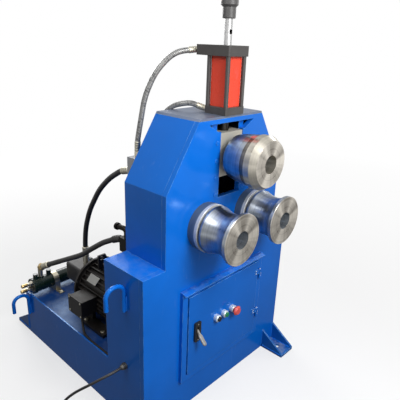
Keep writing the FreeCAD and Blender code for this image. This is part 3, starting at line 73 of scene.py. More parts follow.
def at(x, y, z):
    """The place in metres: x from the middle, y from the front plate's face, z from the floor."""
    return np.array((x * MM, front_face + y * MM, z * MM))


def spots(*places):
    """Several places in metres, one per row."""
    return np.array([at(*place) for place in places])


def new_object(name, data):
    """An object of some data, put into the scene."""
    made = bpy.data.objects.new(name, data)
    bpy.context.collection.objects.link(made)
    return made


# Camera at the photograph's place: a standing person's eye, left of the machine and in front of it
eye = at(-1200.5, -961.8, 1384.9)
eye_turn = 0.8275
eye_dip = 0.3491
eye_lean = 0.0378
lens = 39.68


def place_camera():
    """Looks along the turn from +Y towards +X, dipped below level and leaned about the view line."""
    flat = math.cos(eye_dip)
    ahead = Vector((math.sin(eye_turn) * flat, math.cos(eye_turn) * flat, -math.sin(eye_dip)))
    level = Vector((math.cos(eye_turn), -math.sin(eye_turn), 0))
    above = level.cross(ahead)
    right = math.cos(eye_lean) * level + math.sin(eye_lean) * above
    up = math.cos(eye_lean) * above - math.sin(eye_lean) * level
    data = bpy.data.cameras.new("camera")
    data.lens = lens
    data.sensor_width = 36
    data.clip_end = 100
    camera = new_object("camera", data)
    turn = Matrix((right, up, -ahead)).transposed()
    camera.matrix_world = Matrix.Translation(Vector(eye)) @ turn.to_4x4()
    bpy.context.scene.camera = camera


place_camera()


# Shader trees
def fill(socket, value):
    """Sets a plain value on an input; a colour is given as three parts."""
    socket.default_value = (*value, 1.0) if socket.type == "RGBA" else value


class Tree:
    """A shader tree written one node to a line."""

    def __init__(self, tree):
        self.tree = tree

    def add(self, kind, inputs=(), **settings):
        """A node of a kind, with its settings and with values or other outputs on its inputs."""
        node = self.tree.nodes.new("ShaderNode" + kind)
        for name, value in settings.items():
            setattr(node, name, value)
        for key, value in dict(inputs).items():
            if isinstance(value, bpy.types.NodeSocket):
                self.tree.links.new(value, node.inputs[key])
            else:
                fill(node.inputs[key], value)
        return node

    def math(self, operation, *values):
        """The output of a Math node."""
        return self.add("Math", enumerate(values), operation=operation).outputs[0]

    def times(self, first, second):
        """The product of two values."""
        return self.math("MULTIPLY", first, second)

    def plus(self, first, second):
        """The sum of two values."""
        return self.math("ADD", first, second)

    def minus(self, first, second):
        """The first value less the second."""
        return self.math("SUBTRACT", first, second)

    def most(self, first, second):
        """The greater of two values."""
        return self.math("MAXIMUM", first, second)

    def place(self):
        """The place on the piece in metres of the frame."""
        return self.add("TexCoord").outputs["Object"]

    def facing(self):
        """The way that the surface faces."""
        return self.add("NewGeometry").outputs["Normal"]

    def vector(self, operation, *values):
        """The vector output of a Vector Math node."""
        return self.add("VectorMath", enumerate(values), operation=operation).outputs["Vector"]

    def noise(self, vector, scale, detail=2.0, rough=0.5):
        """Smooth noise from 0 to 1; the scale is in bumps per metre."""
        inputs = {"Vector": vector, "Scale": scale, "Detail": detail, "Roughness": rough}
        return self.add("TexNoise", inputs).outputs["Fac"]

    def lines(self, place, scale, detail=2.0):
        """Noise along one value, which makes rings or grooves."""
        inputs = {"W": place, "Scale": scale, "Detail": detail}
        return self.add("TexNoise", inputs, noise_dimensions="1D").outputs["Fac"]

    def spread(self, value, low, high, out_low=0.0, out_high=1.0):
        """Maps a value from one range to another and holds it there."""
        inputs = {"Value": value, "From Min": low, "From Max": high, "To Min": out_low, "To Max": out_high}
        return self.add("MapRange", inputs).outputs[0]

    def blend(self, amount, first, second, kind="MIX"):
        """Two colours mixed by an amount."""
        inputs = {0: amount, 6: first, 7: second}
        return self.add("Mix", inputs, data_type="RGBA", blend_type=kind).outputs[2]

    def shade(self, colour, factor):
        """A colour made darker or lighter by a factor."""
        grey = self.add("CombineXYZ", {0: factor, 1: factor, 2: factor}).outputs[0]
        return self.blend(1.0, colour, grey, "MULTIPLY")

    def bump(self, height, depth, normal=None):
        """A normal from a height from 0 to 1 that stands for a depth in metres."""
        inputs = {"Height": height, "Distance": depth}
        if normal:
            inputs["Normal"] = normal
        return self.add("Bump", inputs).outputs[0]

    def axes(self, vector):
        """The three coordinates of a vector."""
        return self.add("SeparateXYZ", {0: vector}).outputs

    def edge(self, radius):
        """The normal of a surface whose sharp edges are rounded by a radius."""
        return self.add("Bevel", {"Radius": radius}, samples=4).outputs[0]


KINDS = {"Colour": "NodeSocketColor", "Vector": "NodeSocketVector", "Normal": "NodeSocketVector",
         "Tangent": "NodeSocketVector"}


def effect(name, inputs, outputs, build):
    """A shader node group; build gets its tree and input sockets and returns its outputs by name."""
    group = bpy.data.node_groups.new(name, "ShaderNodeTree")
    for title, start in inputs.items():
        socket = group.interface.new_socket(title, in_out="INPUT", socket_type=KINDS.get(title, "NodeSocketFloat"))
        if start is not None:
            socket.default_value = start
    for title in outputs:
        group.interface.new_socket(title, in_out="OUTPUT", socket_type=KINDS.get(title, "NodeSocketFloat"))
    tree = Tree(group)
    entry = group.nodes.new("NodeGroupInput")
    way_out = group.nodes.new("NodeGroupOutput")
    for title, socket in build(tree, entry.outputs).items():
        group.links.new(socket, way_out.inputs[title])
    return group


def sprayed(tree, given):
    """Sprayed enamel: uneven colour, plate not quite flat, fine ripple, scuffs, edges painted pale blue as wear and as
    a painted highlight, and dust on top.
    """
    place = tree.place()
    patches = tree.spread(tree.noise(place, 5.0, 3.0), 0.3, 0.7, 0.92, 1.05)
    toned = tree.shade(given["Colour"], patches)
    streaks = tree.noise(tree.vector("MULTIPLY", place, (70.0, 70.0, 20.0)), 1.0, 4.0, 0.6)
    scuffs = tree.times(tree.spread(streaks, 0.60, 0.74), tree.spread(tree.noise(place, 6.0), 0.48, 0.62))
    scuffed = tree.blend(tree.times(scuffs, 0.07), toned, (0.30, 0.42, 0.60))
    lying = tree.spread(tree.axes(tree.facing())["Z"], 0.75, 1.0)
    settled = tree.times(lying, tree.spread(tree.noise(place, 26.0, 5.0, 0.65), 0.42, 0.72))
    dust = tree.times(settled, given["Dust"])
    dusty = tree.blend(dust, scuffed, (0.30, 0.33, 0.38))
    sheen = tree.spread(tree.noise(place, 40.0), 0.3, 0.7, -0.04, 0.05)
    rough = tree.plus(tree.plus(given["Gloss"], sheen), tree.times(dust, 0.5))
    rounded = tree.edge(0.0026)
    plate = tree.bump(tree.noise(place, 7.0, 1.0), given["Wave"], rounded)
    skin = tree.bump(tree.noise(place, 480.0), 0.000008, plate)
    # Painted highlight and wear: at edges, where the rounded normal leaves the true one, the enamel turns pale blue
    flat = tree.add("VectorMath", {0: rounded, 1: tree.facing()}, operation="DOT_PRODUCT").outputs["Value"]
    edge_wear_and_highlight = tree.times(tree.spread(flat, 0.985, 0.86), tree.spread(tree.noise(place, 30.0, 3.0), 0.3, 0.6))
    worn = tree.blend(tree.times(edge_wear_and_highlight, given["Rub"]), dusty, (0.22, 0.52, 0.86))
    return {"Colour": worn, "Roughness": rough, "Normal": skin}


def turned_marks(tree, given):
    """Marks of the lathe round the Y axis: u = distance from it + y makes rings on a face and grooves on a barrel.

    The tangent lies across the marks, as the direction round the axis crossed with the normal. The painted shine is
    noise of that direction alone, so it runs from the middle outwards as the real shine of a turned face does.
    """
    parts = tree.axes(given["Vector"])
    square = tree.plus(tree.times(parts["X"], parts["X"]), tree.times(parts["Z"], parts["Z"]))
    reach = tree.plus(tree.math("SQRT", square), parts["Y"])
    grooves = tree.lines(reach, 1300.0, 3.0)
    bands = tree.lines(reach, 130.0)
    smears = tree.noise(given["Vector"], 26.0, 5.0, 0.62)
    shade = tree.plus(tree.spread(bands, 0.3, 0.7, -0.5, 0.5), tree.spread(smears, 0.3, 0.7, -0.5, 0.5))
    normal = tree.bump(grooves, given["Depth"], tree.edge(0.0008))
    round_way = tree.add("CombineXYZ", {0: parts["Z"], 2: tree.times(parts["X"], -1.0)}).outputs[0]
    turned_way = tree.add("VectorTransform", {0: round_way}, vector_type="VECTOR", convert_from="OBJECT",
                          convert_to="WORLD").outputs[0]
    across = tree.vector("CROSS_PRODUCT", turned_way, tree.facing())
    radial = tree.vector("NORMALIZE", tree.vector("MULTIPLY", given["Vector"], (1.0, 0.0, 1.0)))
    painted_shine_fan = tree.spread(tree.noise(radial, 1.5, 2.0, 0.55), 0.36, 0.64, -0.5, 0.5)
    return {"Shade": shade, "Painted_Shine": painted_shine_fan, "Smear": smears, "Normal": normal, "Tangent": across}


def milled_marks(tree, given):
    """Flat machined steel: fine straight cutter lines along X, broken by wide soft patches."""
    place = tree.place()
    parts = tree.axes(place)
    cuts = tree.lines(tree.plus(parts["Y"], parts["Z"]), 900.0)
    patches = tree.noise(place, 14.0, 4.0, 0.6)
    return {"Shade": tree.spread(tree.plus(cuts, patches), 0.6, 1.4, -0.5, 0.5),
            "Stain": tree.spread(patches, 0.45, 0.75),
            "Normal": tree.bump(cuts, given["Depth"], tree.edge(0.001))}


def cast_skin(tree, given):
    """The pebbled skin of a painted casting, with dust and oil in soft patches."""
    place = tree.place()
    grain = tree.noise(place, given["Grain"], 3.0, 0.6)
    patches = tree.noise(place, 18.0, 4.0, 0.6)
    lying = tree.spread(tree.axes(tree.facing())["Z"], 0.4, 1.0)
    dust = tree.times(lying, tree.spread(patches, 0.35, 0.75, 0.1, 1.0))
    return {"Shade": tree.spread(patches, 0.3, 0.7, -0.5, 0.5), "Dust": dust,
            "Normal": tree.bump(grain, given["Depth"], tree.edge(0.0012))}


def braided(tree, given):
    """Two crossing sets of wires on a tube whose UV runs u along it and v round it, under a marked clear skin.

    Each set is a sine of (turns along u) +- (wires round v); where one is high it lies on top. The marks are
    short dark dashes: noise stretched round the tube.
    """
    parts = tree.axes(given["Vector"])
    along = tree.times(parts["X"], 1100.0)
    around = tree.times(parts["Y"], 50.0)
    first = tree.math("SINE", tree.plus(along, around))
    second = tree.math("SINE", tree.minus(along, around))
    height = tree.spread(tree.most(first, second), -0.6, 1.0)
    dashes = tree.noise(tree.vector("MULTIPLY", given["Vector"], (190.0, 3.0, 0.0)), 1.0, 3.0, 0.6)
    return {"Strand": height, "Mark": tree.spread(dashes, 0.50, 0.60),
            "Normal": tree.bump(height, 0.0002)}


sprayed_group = effect("sprayed enamel", {"Colour": None, "Dust": 0.2, "Gloss": 0.17, "Wave": 0.0006, "Rub": 0.6},
                       ["Colour", "Roughness", "Normal"], sprayed)
turned_group = effect("turned marks", {"Vector": None, "Depth": 0.000002},
                      ["Shade", "Painted_Shine", "Smear", "Normal", "Tangent"], turned_marks)
milled_group = effect("milled marks", {"Depth": 0.00001}, ["Shade", "Stain", "Normal"], milled_marks)
cast_group = effect("cast skin", {"Grain": 520.0, "Depth": 0.00001}, ["Shade", "Dust", "Normal"], cast_skin)
braid_group = effect("braid", {"Vector": None}, ["Strand", "Mark", "Normal"], braided)


def material(name, **constants):
    """A material with a Principled shader whose plain values are set directly, and its tree."""
    made = bpy.data.materials.new(name)
    made.use_nodes = True
    tree = Tree(made.node_tree)
    shader = made.node_tree.nodes["Principled BSDF"]
    for title, value in constants.items():
        fill(shader.inputs[title.replace("_", " ")], value)
    return made, tree, shader


def feed(tree, shader, **sockets):
    """Joins outputs to the shader's inputs."""
    for title, socket in sockets.items():
        tree.tree.links.new(socket, shader.inputs[title.replace("_", " ")])


def use(tree, group, **inputs):
    """The outputs of a group node in a material."""
    return tree.add("Group", inputs, node_tree=group).outputs


def darker(colour, factor):
    """A plain colour times a factor."""
    return tuple(part * factor for part in colour)


blue = (0.003, 0.138, 0.62)
blue_glint = (0.30, 0.68, 1.0)
plain_glint = (1.0, 1.0, 1.0)
# Near-black for black-finished fittings, and for painted shade on the ram rod
black_finish_and_shade = (0.02, 0.018, 0.016)
# Near-black of the painted shade inside the tower
hollow_shade_black = (0.0012, 0.0018, 0.004)
dab_red = (0.80, 0.12, 0.11)


def inside_tower(tree):
    """1 on faces that look into the hollow tower, where shade is painted: x times the normal's x is below 0, or they
    face the front.
    """
    place = tree.axes(tree.place())
    facing = tree.axes(tree.facing())
    inward = tree.math("LESS_THAN", tree.times(place["X"], facing["X"]), -0.01)
    behind = tree.math("GREATER_THAN", place["Y"], front_face + hollow_y[0] * MM)
    before = tree.math("LESS_THAN", place["Y"], front_face + hollow_y[1] * MM)
    forward = tree.math("LESS_THAN", facing["Y"], -0.5)
    within = tree.math("LESS_THAN", tree.math("ABSOLUTE", place["X"]), (wall_x - 0.5) * MM)
    seen = tree.times(tree.most(inward, forward), within)
    return tree.times(tree.times(before, behind), seen)


def enamel(name, colour, specular=0.4, glint=blue_glint, hollow=False, **skin_inputs):
    """Sprayed enamel of a colour, whose shine has the tint of glint; hollow paints shade on the faces inside the
    tower, which turn near-black.
    """
    made, tree, shader = material(name, Specular_IOR_Level=specular, Specular_Tint=glint)
    skin = use(tree, sprayed_group, Colour=colour, **skin_inputs)
    # Painted shade: inside the tower the enamel turns near-black
    shown = tree.blend(inside_tower(tree), skin["Colour"], hollow_shade_black) if hollow else skin["Colour"]
    feed(tree, shader, Base_Color=shown, Roughness=skin["Roughness"], Normal=skin["Normal"])
    return made


def turned_steel(name, x, z, bright, dark, mark=None, tones=()):
    """Steel turned about a line along Y through x and z in millimetres.

    The colour runs between bright and dark by a painted shine, which fans out from the axis, and by bands of the
    lathe. Each tone is a place along y in front of which the steel takes another bright and dark colour; mark is
    the middle of a dab of layout paint. The freshly faced front is a little less metallic than the barrel.
    """
    made, tree, shader = material(name, Anisotropic=0.6)
    place = tree.place()
    centred = tree.add("Mapping", {"Vector": place, "Location": tuple(-at(x, 0, z))}).outputs[0]
    along = tree.axes(centred)["Y"]
    marks = use(tree, turned_group, Vector=centred)
    # Painted shine: the colour runs from dark to bright with the painted shine and the lathe's bands
    level = tree.spread(tree.plus(marks["Painted_Shine"], tree.times(marks["Shade"], 0.35)), -0.7, 0.7)
    colour = tree.blend(level, dark, bright)
    for step, tone_bright, tone_dark in tones:
        front = tree.spread(along, (step + 0.4) * MM, step * MM)
        colour = tree.blend(front, colour, tree.blend(level, tone_dark, tone_bright))
    if mark is not None:
        reach = tree.add("VectorMath", {0: place, 1: tuple(mark)}, operation="DISTANCE").outputs["Value"]
        ragged = tree.plus(reach, tree.spread(tree.noise(place, 90.0, 3.0), 0.3, 0.7, -0.004, 0.004))
        colour = tree.blend(tree.spread(ragged, 0.015, 0.008, 0.0, 0.9), colour, dab_red)
    feed(tree, shader, Base_Color=colour, Normal=marks["Normal"], Tangent=marks["Tangent"],
         Metallic=tree.spread(along, -0.125, -0.1256, 1.0, 0.82),
         Roughness=tree.spread(marks["Smear"], 0.3, 0.7, 0.27, 0.35))
    return made


def bearing_caps(name, cap, seal, seal_y):
    """Turned caps of both lower rolls, painted thinly behind their bright front rings, which start at seal_y."""
    made, tree, shader = material(name)
    parts = tree.axes(tree.place())
    folded = tree.add("CombineXYZ", {0: tree.minus(tree.math("ABSOLUTE", parts["X"]), roll_x * MM),
                                     1: tree.minus(parts["Y"], front_face),
                                     2: tree.minus(parts["Z"], roll_z * MM)}).outputs[0]
    marks = use(tree, turned_group, Vector=folded, Depth=0.000006)
    front = tree.spread(tree.axes(folded)["Y"], (seal_y + 0.5) * MM, seal_y * MM)
    colour = tree.blend(front, cap, tree.blend(tree.spread(marks["Shade"], -1.0, 1.0), darker(seal, 0.7), seal))
    feed(tree, shader, Base_Color=colour, Normal=marks["Normal"], Roughness=tree.spread(front, 0.0, 1.0, 0.42, 0.30),
         Metallic=tree.spread(front, 0.0, 1.0, 0.45, 0.25))
    return made


def milled_steel(name, bright, stain, rough=0.33, depth=0.00001, below=None, above=-100, metallic=1.0):
    """Flat machined steel with thin stains of oil; it is black from the level above up to the level below."""
    made, tree, shader = material(name, Metallic=metallic)
    marks = use(tree, milled_group, Depth=depth)
    toned = tree.blend(tree.spread(marks["Shade"], -0.5, 0.5), darker(bright, 0.82), bright)
    colour = tree.blend(tree.times(marks["Stain"], 0.45), toned, stain)
    if below is not None:
        level = tree.axes(tree.place())["Z"]
        black = tree.times(tree.spread(level, below * MM, (below - 2) * MM),
                           tree.spread(level, above * MM, (above + 2) * MM))
        colour = tree.blend(black, colour, black_finish_and_shade)
    feed(tree, shader, Base_Color=colour, Normal=marks["Normal"],
         Roughness=tree.spread(marks["Stain"], 0.0, 1.0, rough, rough + 0.12))
    return made


def slotted_rod(name, bright, reach, slot):
    """The ram's ground rod, with painted shade in the slot through its tail and below the crown's top, inside the
    tower.
    """
    made, tree, shader = material(name, Metallic=0.8, Roughness=0.22)
    place = tree.axes(tree.place())
    bands = tree.lines(place["Z"], 160.0)
    colour = tree.blend(tree.spread(bands, 0.3, 0.7), darker(bright, 0.86), bright)
    level = tree.times(tree.math("GREATER_THAN", place["Z"], slot[0] * MM - 0.0002),
                       tree.math("LESS_THAN", place["Z"], slot[1] * MM + 0.0002))
    off = tree.minus(place["Y"], front_face + ram_y * MM)
    away = tree.math("SQRT", tree.plus(tree.times(place["X"], place["X"]), tree.times(off, off)))
    cut = tree.times(level, tree.math("LESS_THAN", away, (reach - 0.5) * MM))
    # Painted shade: the slot's faces and the rod below the crown's top, inside the tower, turn near-black
    rod_painted_shade = tree.most(cut, tree.spread(place["Z"], crown_z * MM, (crown_z - 2) * MM))
    feed(tree, shader, Base_Color=tree.blend(rod_painted_shade, colour, black_finish_and_shade))
    return made


def casting(name, colour, dust_colour, rough=0.42, grain=520, depth=1e-5, dust=0.1, metallic=0.0, specular=0.5):
    """A casting or moulding with a grained skin and dust on what faces up."""
    made, tree, shader = material(name, Metallic=metallic, Specular_IOR_Level=specular)
    skin = use(tree, cast_group, Grain=grain, Depth=depth)
    shaded = tree.blend(tree.spread(skin["Shade"], -0.5, 0.5), darker(colour, 0.75), colour)
    dusty = tree.blend(tree.times(skin["Dust"], dust), shaded, dust_colour)
    feed(tree, shader, Base_Color=dusty, Normal=skin["Normal"],
         Roughness=tree.spread(skin["Dust"], 0.0, 1.0, rough, rough + 0.15))
    return made


def braid_finish(name, wire, gap, mark):
    """Braided wires under a clear skin on a tube with its own UV, whose dark marks are worn off in patches."""
    made, tree, shader = material(name, Roughness=0.35, Coat_Weight=0.4, Coat_Roughness=0.15)
    weave = use(tree, braid_group, Vector=tree.add("TexCoord").outputs["UV"])
    bare = tree.blend(weave["Strand"], gap, wire)
    worn = tree.spread(tree.noise(tree.place(), 45.0, 3.0, 0.6), 0.40, 0.55)
    marked = tree.times(weave["Mark"], worn)
    feed(tree, shader, Base_Color=tree.blend(marked, bare, mark), Normal=weave["Normal"],
         Metallic=tree.times(tree.minus(1.0, marked), 0.35))
    return made


# Bright and dark ends of the painted shine on the rolls; faced is the pair for their front faces
roll_shine_tones = (0.60, 0.64, 0.68), (0.16, 0.18, 0.21)
faced = (-171.4, (0.84, 0.79, 0.70), (0.20, 0.18, 0.155))
# Near-black of the painted shade in the upper roll's seam
seam_shade_black = (0.03, 0.027, 0.024)
zinc_tones = (0.60, 0.57, 0.48), (0.52, 0.40, 0.20)
finishes = {
    "blue_paint": enamel("blue enamel", blue, Dust=0.12, hollow=True),
    "red_paint": enamel("red enamel", (0.80, 0.072, 0.038), Dust=0.05, Gloss=0.26, Wave=0.0002, specular=0.2,
                        glint=plain_glint, Rub=0.0),
    "motor_grey": casting("dark enamel on castings", (0.014, 0.012, 0.011), (0.12, 0.10, 0.085), depth=0.00012,
                          dust=0.22, specular=0.3),
    "green_paint": enamel("dark green enamel", (0.004, 0.014, 0.010), Dust=0.06, Gloss=0.25, Wave=0.0001,
                          glint=plain_glint, Rub=0.0),
    "machined_steel": milled_steel("machined steel", (0.42, 0.41, 0.38), (0.30, 0.27, 0.21), rough=0.42),
    "control_metal": milled_steel("plated steel", (0.50, 0.50, 0.49), (0.38, 0.36, 0.31)),
    "rod_chrome": slotted_rod("hard chrome, slotted", (0.80, 0.80, 0.80), 13.2, (1405, 1419)),
    "zinc": milled_steel("zinc plating", *zinc_tones, rough=0.3),
    "valve_metal": milled_steel("bare manifold, black below", (0.30, 0.31, 0.33), (0.20, 0.19, 0.17), rough=0.4,
                                below=750),
    "bezel_metal": milled_steel("bright bezel", (0.78, 0.86, 0.90), (0.6, 0.65, 0.68), rough=0.22,
                                depth=0.000004, metallic=0.35),
    "braid": braid_finish("steel braid under clear skin", (0.30, 0.30, 0.29), (0.07, 0.07, 0.07), (0.03, 0.03, 0.032)),
}
# Castings and mouldings: the slot, name, colour, colour of the dust, roughness, bumps per metre, their depth, dust
for slot, *choice in (
        ("black_steel", "black enamel on steel", (0.062, 0.058, 0.056), (0.22, 0.21, 0.2), 0.42, 380, 3e-5, 0.45),
        ("cast_grey", "raw casting", (0.032, 0.031, 0.031), (0.12, 0.11, 0.10), 0.5, 520, 2e-4, 0.35),
        ("plate_white", "blank plate", (0.50, 0.50, 0.47), (0.30, 0.29, 0.26), 0.4, 520, 1e-5, 0.7),
        ("hose_rubber", "hose rubber", (0.014, 0.013, 0.013), (0.05, 0.047, 0.044), 0.45, 900, 4e-5, 0.4),
        ("black_plastic", "black plastic", (0.014, 0.014, 0.015), (0.06, 0.06, 0.06), 0.42, 520, 4e-5, 0.2),
        ("black_cap", "glossy black", (0.010, 0.010, 0.011), (0.05, 0.05, 0.05), 0.18, 520, 1e-5, 0.1),
        ("green_cap", "glossy green", (0.006, 0.24, 0.09), (0.06, 0.3, 0.15), 0.2, 520, 1e-5, 0.1),
        ("red_cap", "glossy red", (0.80, 0.11, 0.10), (0.75, 0.22, 0.20), 0.25, 520, 1e-5, 0.1),
        ("lever_grey", "grey moulding", (0.33, 0.32, 0.30), (0.4, 0.4, 0.38), 0.4, 520, 3e-5, 0.2),
        ("cable_black", "cable sheath", (0.016, 0.016, 0.018), (0.06, 0.06, 0.06), 0.45, 1200, 2e-5, 0.3)):
    finishes[slot] = casting(*choice)
# Finishes of single nodes, where a slot covers pieces that look unlike each other
own_finishes = {
    "left_roll": turned_steel("turned steel left", -roll_x, roll_z, *roll_shine_tones, tones=[faced]),
    "right_roll": turned_steel("turned steel right", roll_x, roll_z, *roll_shine_tones, tones=[faced]),
    "upper_roll": turned_steel(
        "turned steel upper", 0, upper_roll_z, *roll_shine_tones, mark=at(-22, -112, 1088),
        # Painted shade: from -108 to -125.8 mm the upper roll darkens, as the shade in the groove at its seam
        tones=[(-108, (0.30, 0.28, 0.25), seam_shade_black), (-122, seam_shade_black, seam_shade_black),
               (-125.8, (0.62, 0.59, 0.52), (0.27, 0.25, 0.21)),
               (-149.2, (0.66, 0.62, 0.54), (0.38, 0.355, 0.30)), faced]),
    "bearing_housings": bearing_caps("bearing caps", (0.12, 0.16, 0.20), (0.66, 0.67, 0.66), -31),
    # The deck is painted a darker blue than the rest of the machine, and dustier
    "tank_deck": enamel("darker blue enamel, dusty", (0.003, 0.05, 0.24), Dust=0.22, Gloss=0.4, Wave=0.001),
    "cable_gland": casting("dark plated gland", (0.10, 0.098, 0.094), (0.16, 0.15, 0.14), rough=0.35, metallic=0.7),
    "door_frame": enamel("blue enamel on the surround", blue, Dust=0.3, Rub=1.0),
    "door_panel": enamel("blue enamel on the door", (0.003, 0.13, 0.58), Dust=0.2, Rub=1.0),
    "feet": enamel("trodden enamel", (0.004, 0.10, 0.40), Dust=0.8, Rub=1.0),
    "guide_rails": enamel("blue enamel on rails", blue, Dust=0.1, hollow=True),
    # Painted reflection: the crown's bluish steel colour stands for the blue enamel mirrored in it
    "top_plate": milled_steel("machined crown, blue reflection painted", (0.20, 0.25, 0.36), (0.20, 0.18, 0.19), rough=0.36, metallic=0.6),
    "slide_block": milled_steel("ground slide", (0.56, 0.54, 0.47), (0.38, 0.33, 0.25), rough=0.5, metallic=0.4),
    "hose_fittings": milled_steel("zinc and black fittings", *zinc_tones, rough=0.3, below=750, above=600),
    "stop_nut": casting("dark turned nut", (0.085, 0.083, 0.082), (0.14, 0.14, 0.14)),
}
for which in ("left", "right", "upper"):
    own_finishes[which + "_shaft"] = own_finishes[which + "_roll"]

# Every CAD node takes the finish of its slot, or its own
slot_of = {part["node"]: part["material_slot"] for part in frame["record"]["subparts"]}
for name, thing in nodes.items():
    thing.data.materials.clear()
    thing.data.materials.append(own_finishes[name] if name in own_finishes else finishes[slot_of[name]])


# Meshes
def grid_quads(rows, columns):
    """Quads between neighbouring points of a grid whose last column joins the first."""
    row = np.arange(rows - 1)[:, None] * columns
    column = np.arange(columns)[None, :]
    beside = (column + 1) % columns
    corners = (row + column, row + beside, row + columns + beside, row + columns + column)
    return np.stack(corners, axis=-1).reshape(-1, 4)


def add_piece(name, grids, body, slot, smooth=True, finish=None, uv=None):
    """A piece from grids of points, ring by ring: doubled points merged, faces outwards, riding on its body."""
    starts = np.cumsum([0] + [len(grid) * len(grid[0]) for grid in grids])
    quads = np.vstack([grid_quads(*grid.shape[:2]) + start for grid, start in zip(grids, starts)])
    mesh = bpy.data.meshes.new(name)
    mesh.from_pydata(np.vstack([grid.reshape(-1, 3) for grid in grids]).tolist(), [], quads.tolist())
    if uv is not None:
        layer = mesh.uv_layers.new(name="run")
        order = np.empty(len(mesh.loops), dtype=np.int32)
        mesh.loops.foreach_get("vertex_index", order)
        layer.data.foreach_set("uv", np.asarray(uv, dtype=np.float32)[order].ravel())
    shape = bmesh.new()
    shape.from_mesh(mesh)
    bmesh.ops.remove_doubles(shape, verts=shape.verts, dist=1e-6)
    bmesh.ops.recalc_face_normals(shape, faces=shape.faces)
    for face in shape.faces:
        face.smooth = smooth
    shape.to_mesh(mesh)
    shape.free()
    mesh.materials.append(finish or finishes[slot])
    piece = new_object(name, mesh)
    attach(piece, body)
    return piece


def unit(vectors):
    """Vectors made one long."""
    vectors = np.asarray(vectors, dtype=float)
    return vectors / np.linalg.norm(vectors, axis=-1, keepdims=True)


def arc_path(bend, *places):
    """Straight runs between places, joined by tangent arcs of a bend in millimetres, less where a run is short.

    At a corner with half turn h the arc's radius is r = min(bend, 0.45 * shorter run / tan h), its middle
    lies r / cos h inward, and its points are middle - r * (inward * cos t - ahead * sin t) for t from -h to h.
    """
    route = spots(*places)
    runs = np.diff(route, axis=0)
    lengths = np.linalg.norm(runs, axis=1)
    ways = unit(runs)
    half_turn = np.arccos(np.clip((ways[:-1] * ways[1:]).sum(axis=1), -1, 1)) / 2
    half_turn = np.maximum(half_turn, 1e-4)
    shorter = np.minimum(lengths[:-1], lengths[1:])
    radius = np.minimum(bend * MM, 0.45 * shorter / np.tan(half_turn))
    inward = unit(ways[1:] - ways[:-1] + 1e-12)
    ahead = unit(ways[1:] + ways[:-1])
    middle = route[1:-1] + inward * (radius / np.cos(half_turn))[:, None]
    t = np.linspace(-1, 1, 9)[None, :] * half_turn[:, None]
    swing = inward[:, None] * np.cos(t)[..., None] - ahead[:, None] * np.sin(t)[..., None]
    arcs = middle[:, None] - radius[:, None, None] * swing
    return np.vstack([route[:1], arcs.reshape(-1, 3), route[-1:]])


def run_along(path):
    """The length along a path at each of its points."""
    return np.concatenate([[0], np.cumsum(np.linalg.norm(np.diff(path, axis=0), axis=1))])


def part_of(path, places):
    """Points of a path at some lengths along it, in metres."""
    run = run_along(path)
    return np.stack([np.interp(places, run, path[:, axis]) for axis in range(3)], axis=1)


def tube(path, radius, across, sides=20):
    """Rings of points round a path: each ring is radius * (cos a, sin a) in the plane of two directions
    square to the path, the first of which is square to the direction across too."""
    path = np.asarray(path)
    ahead = unit(np.gradient(path, axis=0))
    first = unit(np.cross(ahead, np.asarray(across, dtype=float)))
    second = np.cross(ahead, first)
    angle = np.linspace(0, 2 * math.pi, sides, endpoint=False)
    radius = np.broadcast_to(np.asarray(radius, dtype=float), len(path))[:, None, None]
    ring = np.cos(angle)[None, :, None] * first[:, None] + np.sin(angle)[None, :, None] * second[:, None]
    return path[:, None] + radius * ring


def closed_rings(rings):
    """Rings with a point at each end, so that the tube is closed."""
    first = np.broadcast_to(rings[0].mean(axis=0), rings[0].shape)
    last = np.broadcast_to(rings[-1].mean(axis=0), rings[-1].shape)
    return np.concatenate([first[None], rings, last[None]])


def run_uv(rings):
    """UV of a tube's points: u in metres along it and v from 0 to 1 round it, back again at the seam."""
    along = run_along(rings.mean(axis=1))
    around = np.arange(rings.shape[1]) / rings.shape[1]
    return np.stack(np.broadcast_arrays(along[:, None], around[None, :]), axis=-1).reshape(-1, 2)


def hose(path, radius, across, sides=20, pitch=6):
    """The closed rings of a hose along a path, about one every pitch millimetres."""
    length = run_along(path)[-1]
    places = np.linspace(0, length, max(int(length / (pitch * MM)), 4))
    return closed_rings(tube(part_of(path, places), radius * MM, across, sides))


def sleeve(path, start, profile, across, sides=24):
    """A profile of (length from the start, radius) in millimetres carried along a path, closed at both ends.

    Its middle line runs halfway between the path and a straight line, so that it bends less than the path.
    """
    reach, radius = (np.asarray(profile, dtype=float) * MM).T
    on_path = part_of(path, start * MM + reach)
    ends = part_of(path, start * MM + reach.mean() + np.array([-0.5, 0.5]) * np.ptp(reach))
    spine = (on_path[:1] + (reach - reach[0])[:, None] * unit(ends[1] - ends[0]) + on_path) / 2
    ring = tube(spine[[0, -1]], 1.0, across, sides)[0] - spine[0]
    return spine[:, None] + radius[:, None, None] * ring


def turned(profile, places, way, steps=24):
    """A profile of (radius, along) in millimetres turned about one direction at each of several places.

    Points: place + along * way + radius * (cos a * first + sin a * second), with the two square to the way.
    """
    radius, along = (np.asarray(profile, dtype=float) * MM).T
    way = unit(way)
    helper = (0.0, 0.0, 1.0) if abs(way[2]) < 0.9 else (1.0, 0.0, 0.0)
    first = unit(np.cross(way, helper))
    second = np.cross(way, first)
    angle = np.linspace(0, 2 * math.pi, steps, endpoint=False)
    ring = np.cos(angle)[:, None] * first + np.sin(angle)[:, None] * second
    shape = along[:, None, None] * way + radius[:, None, None] * ring
    return shape + np.asarray(places)[:, None, None]


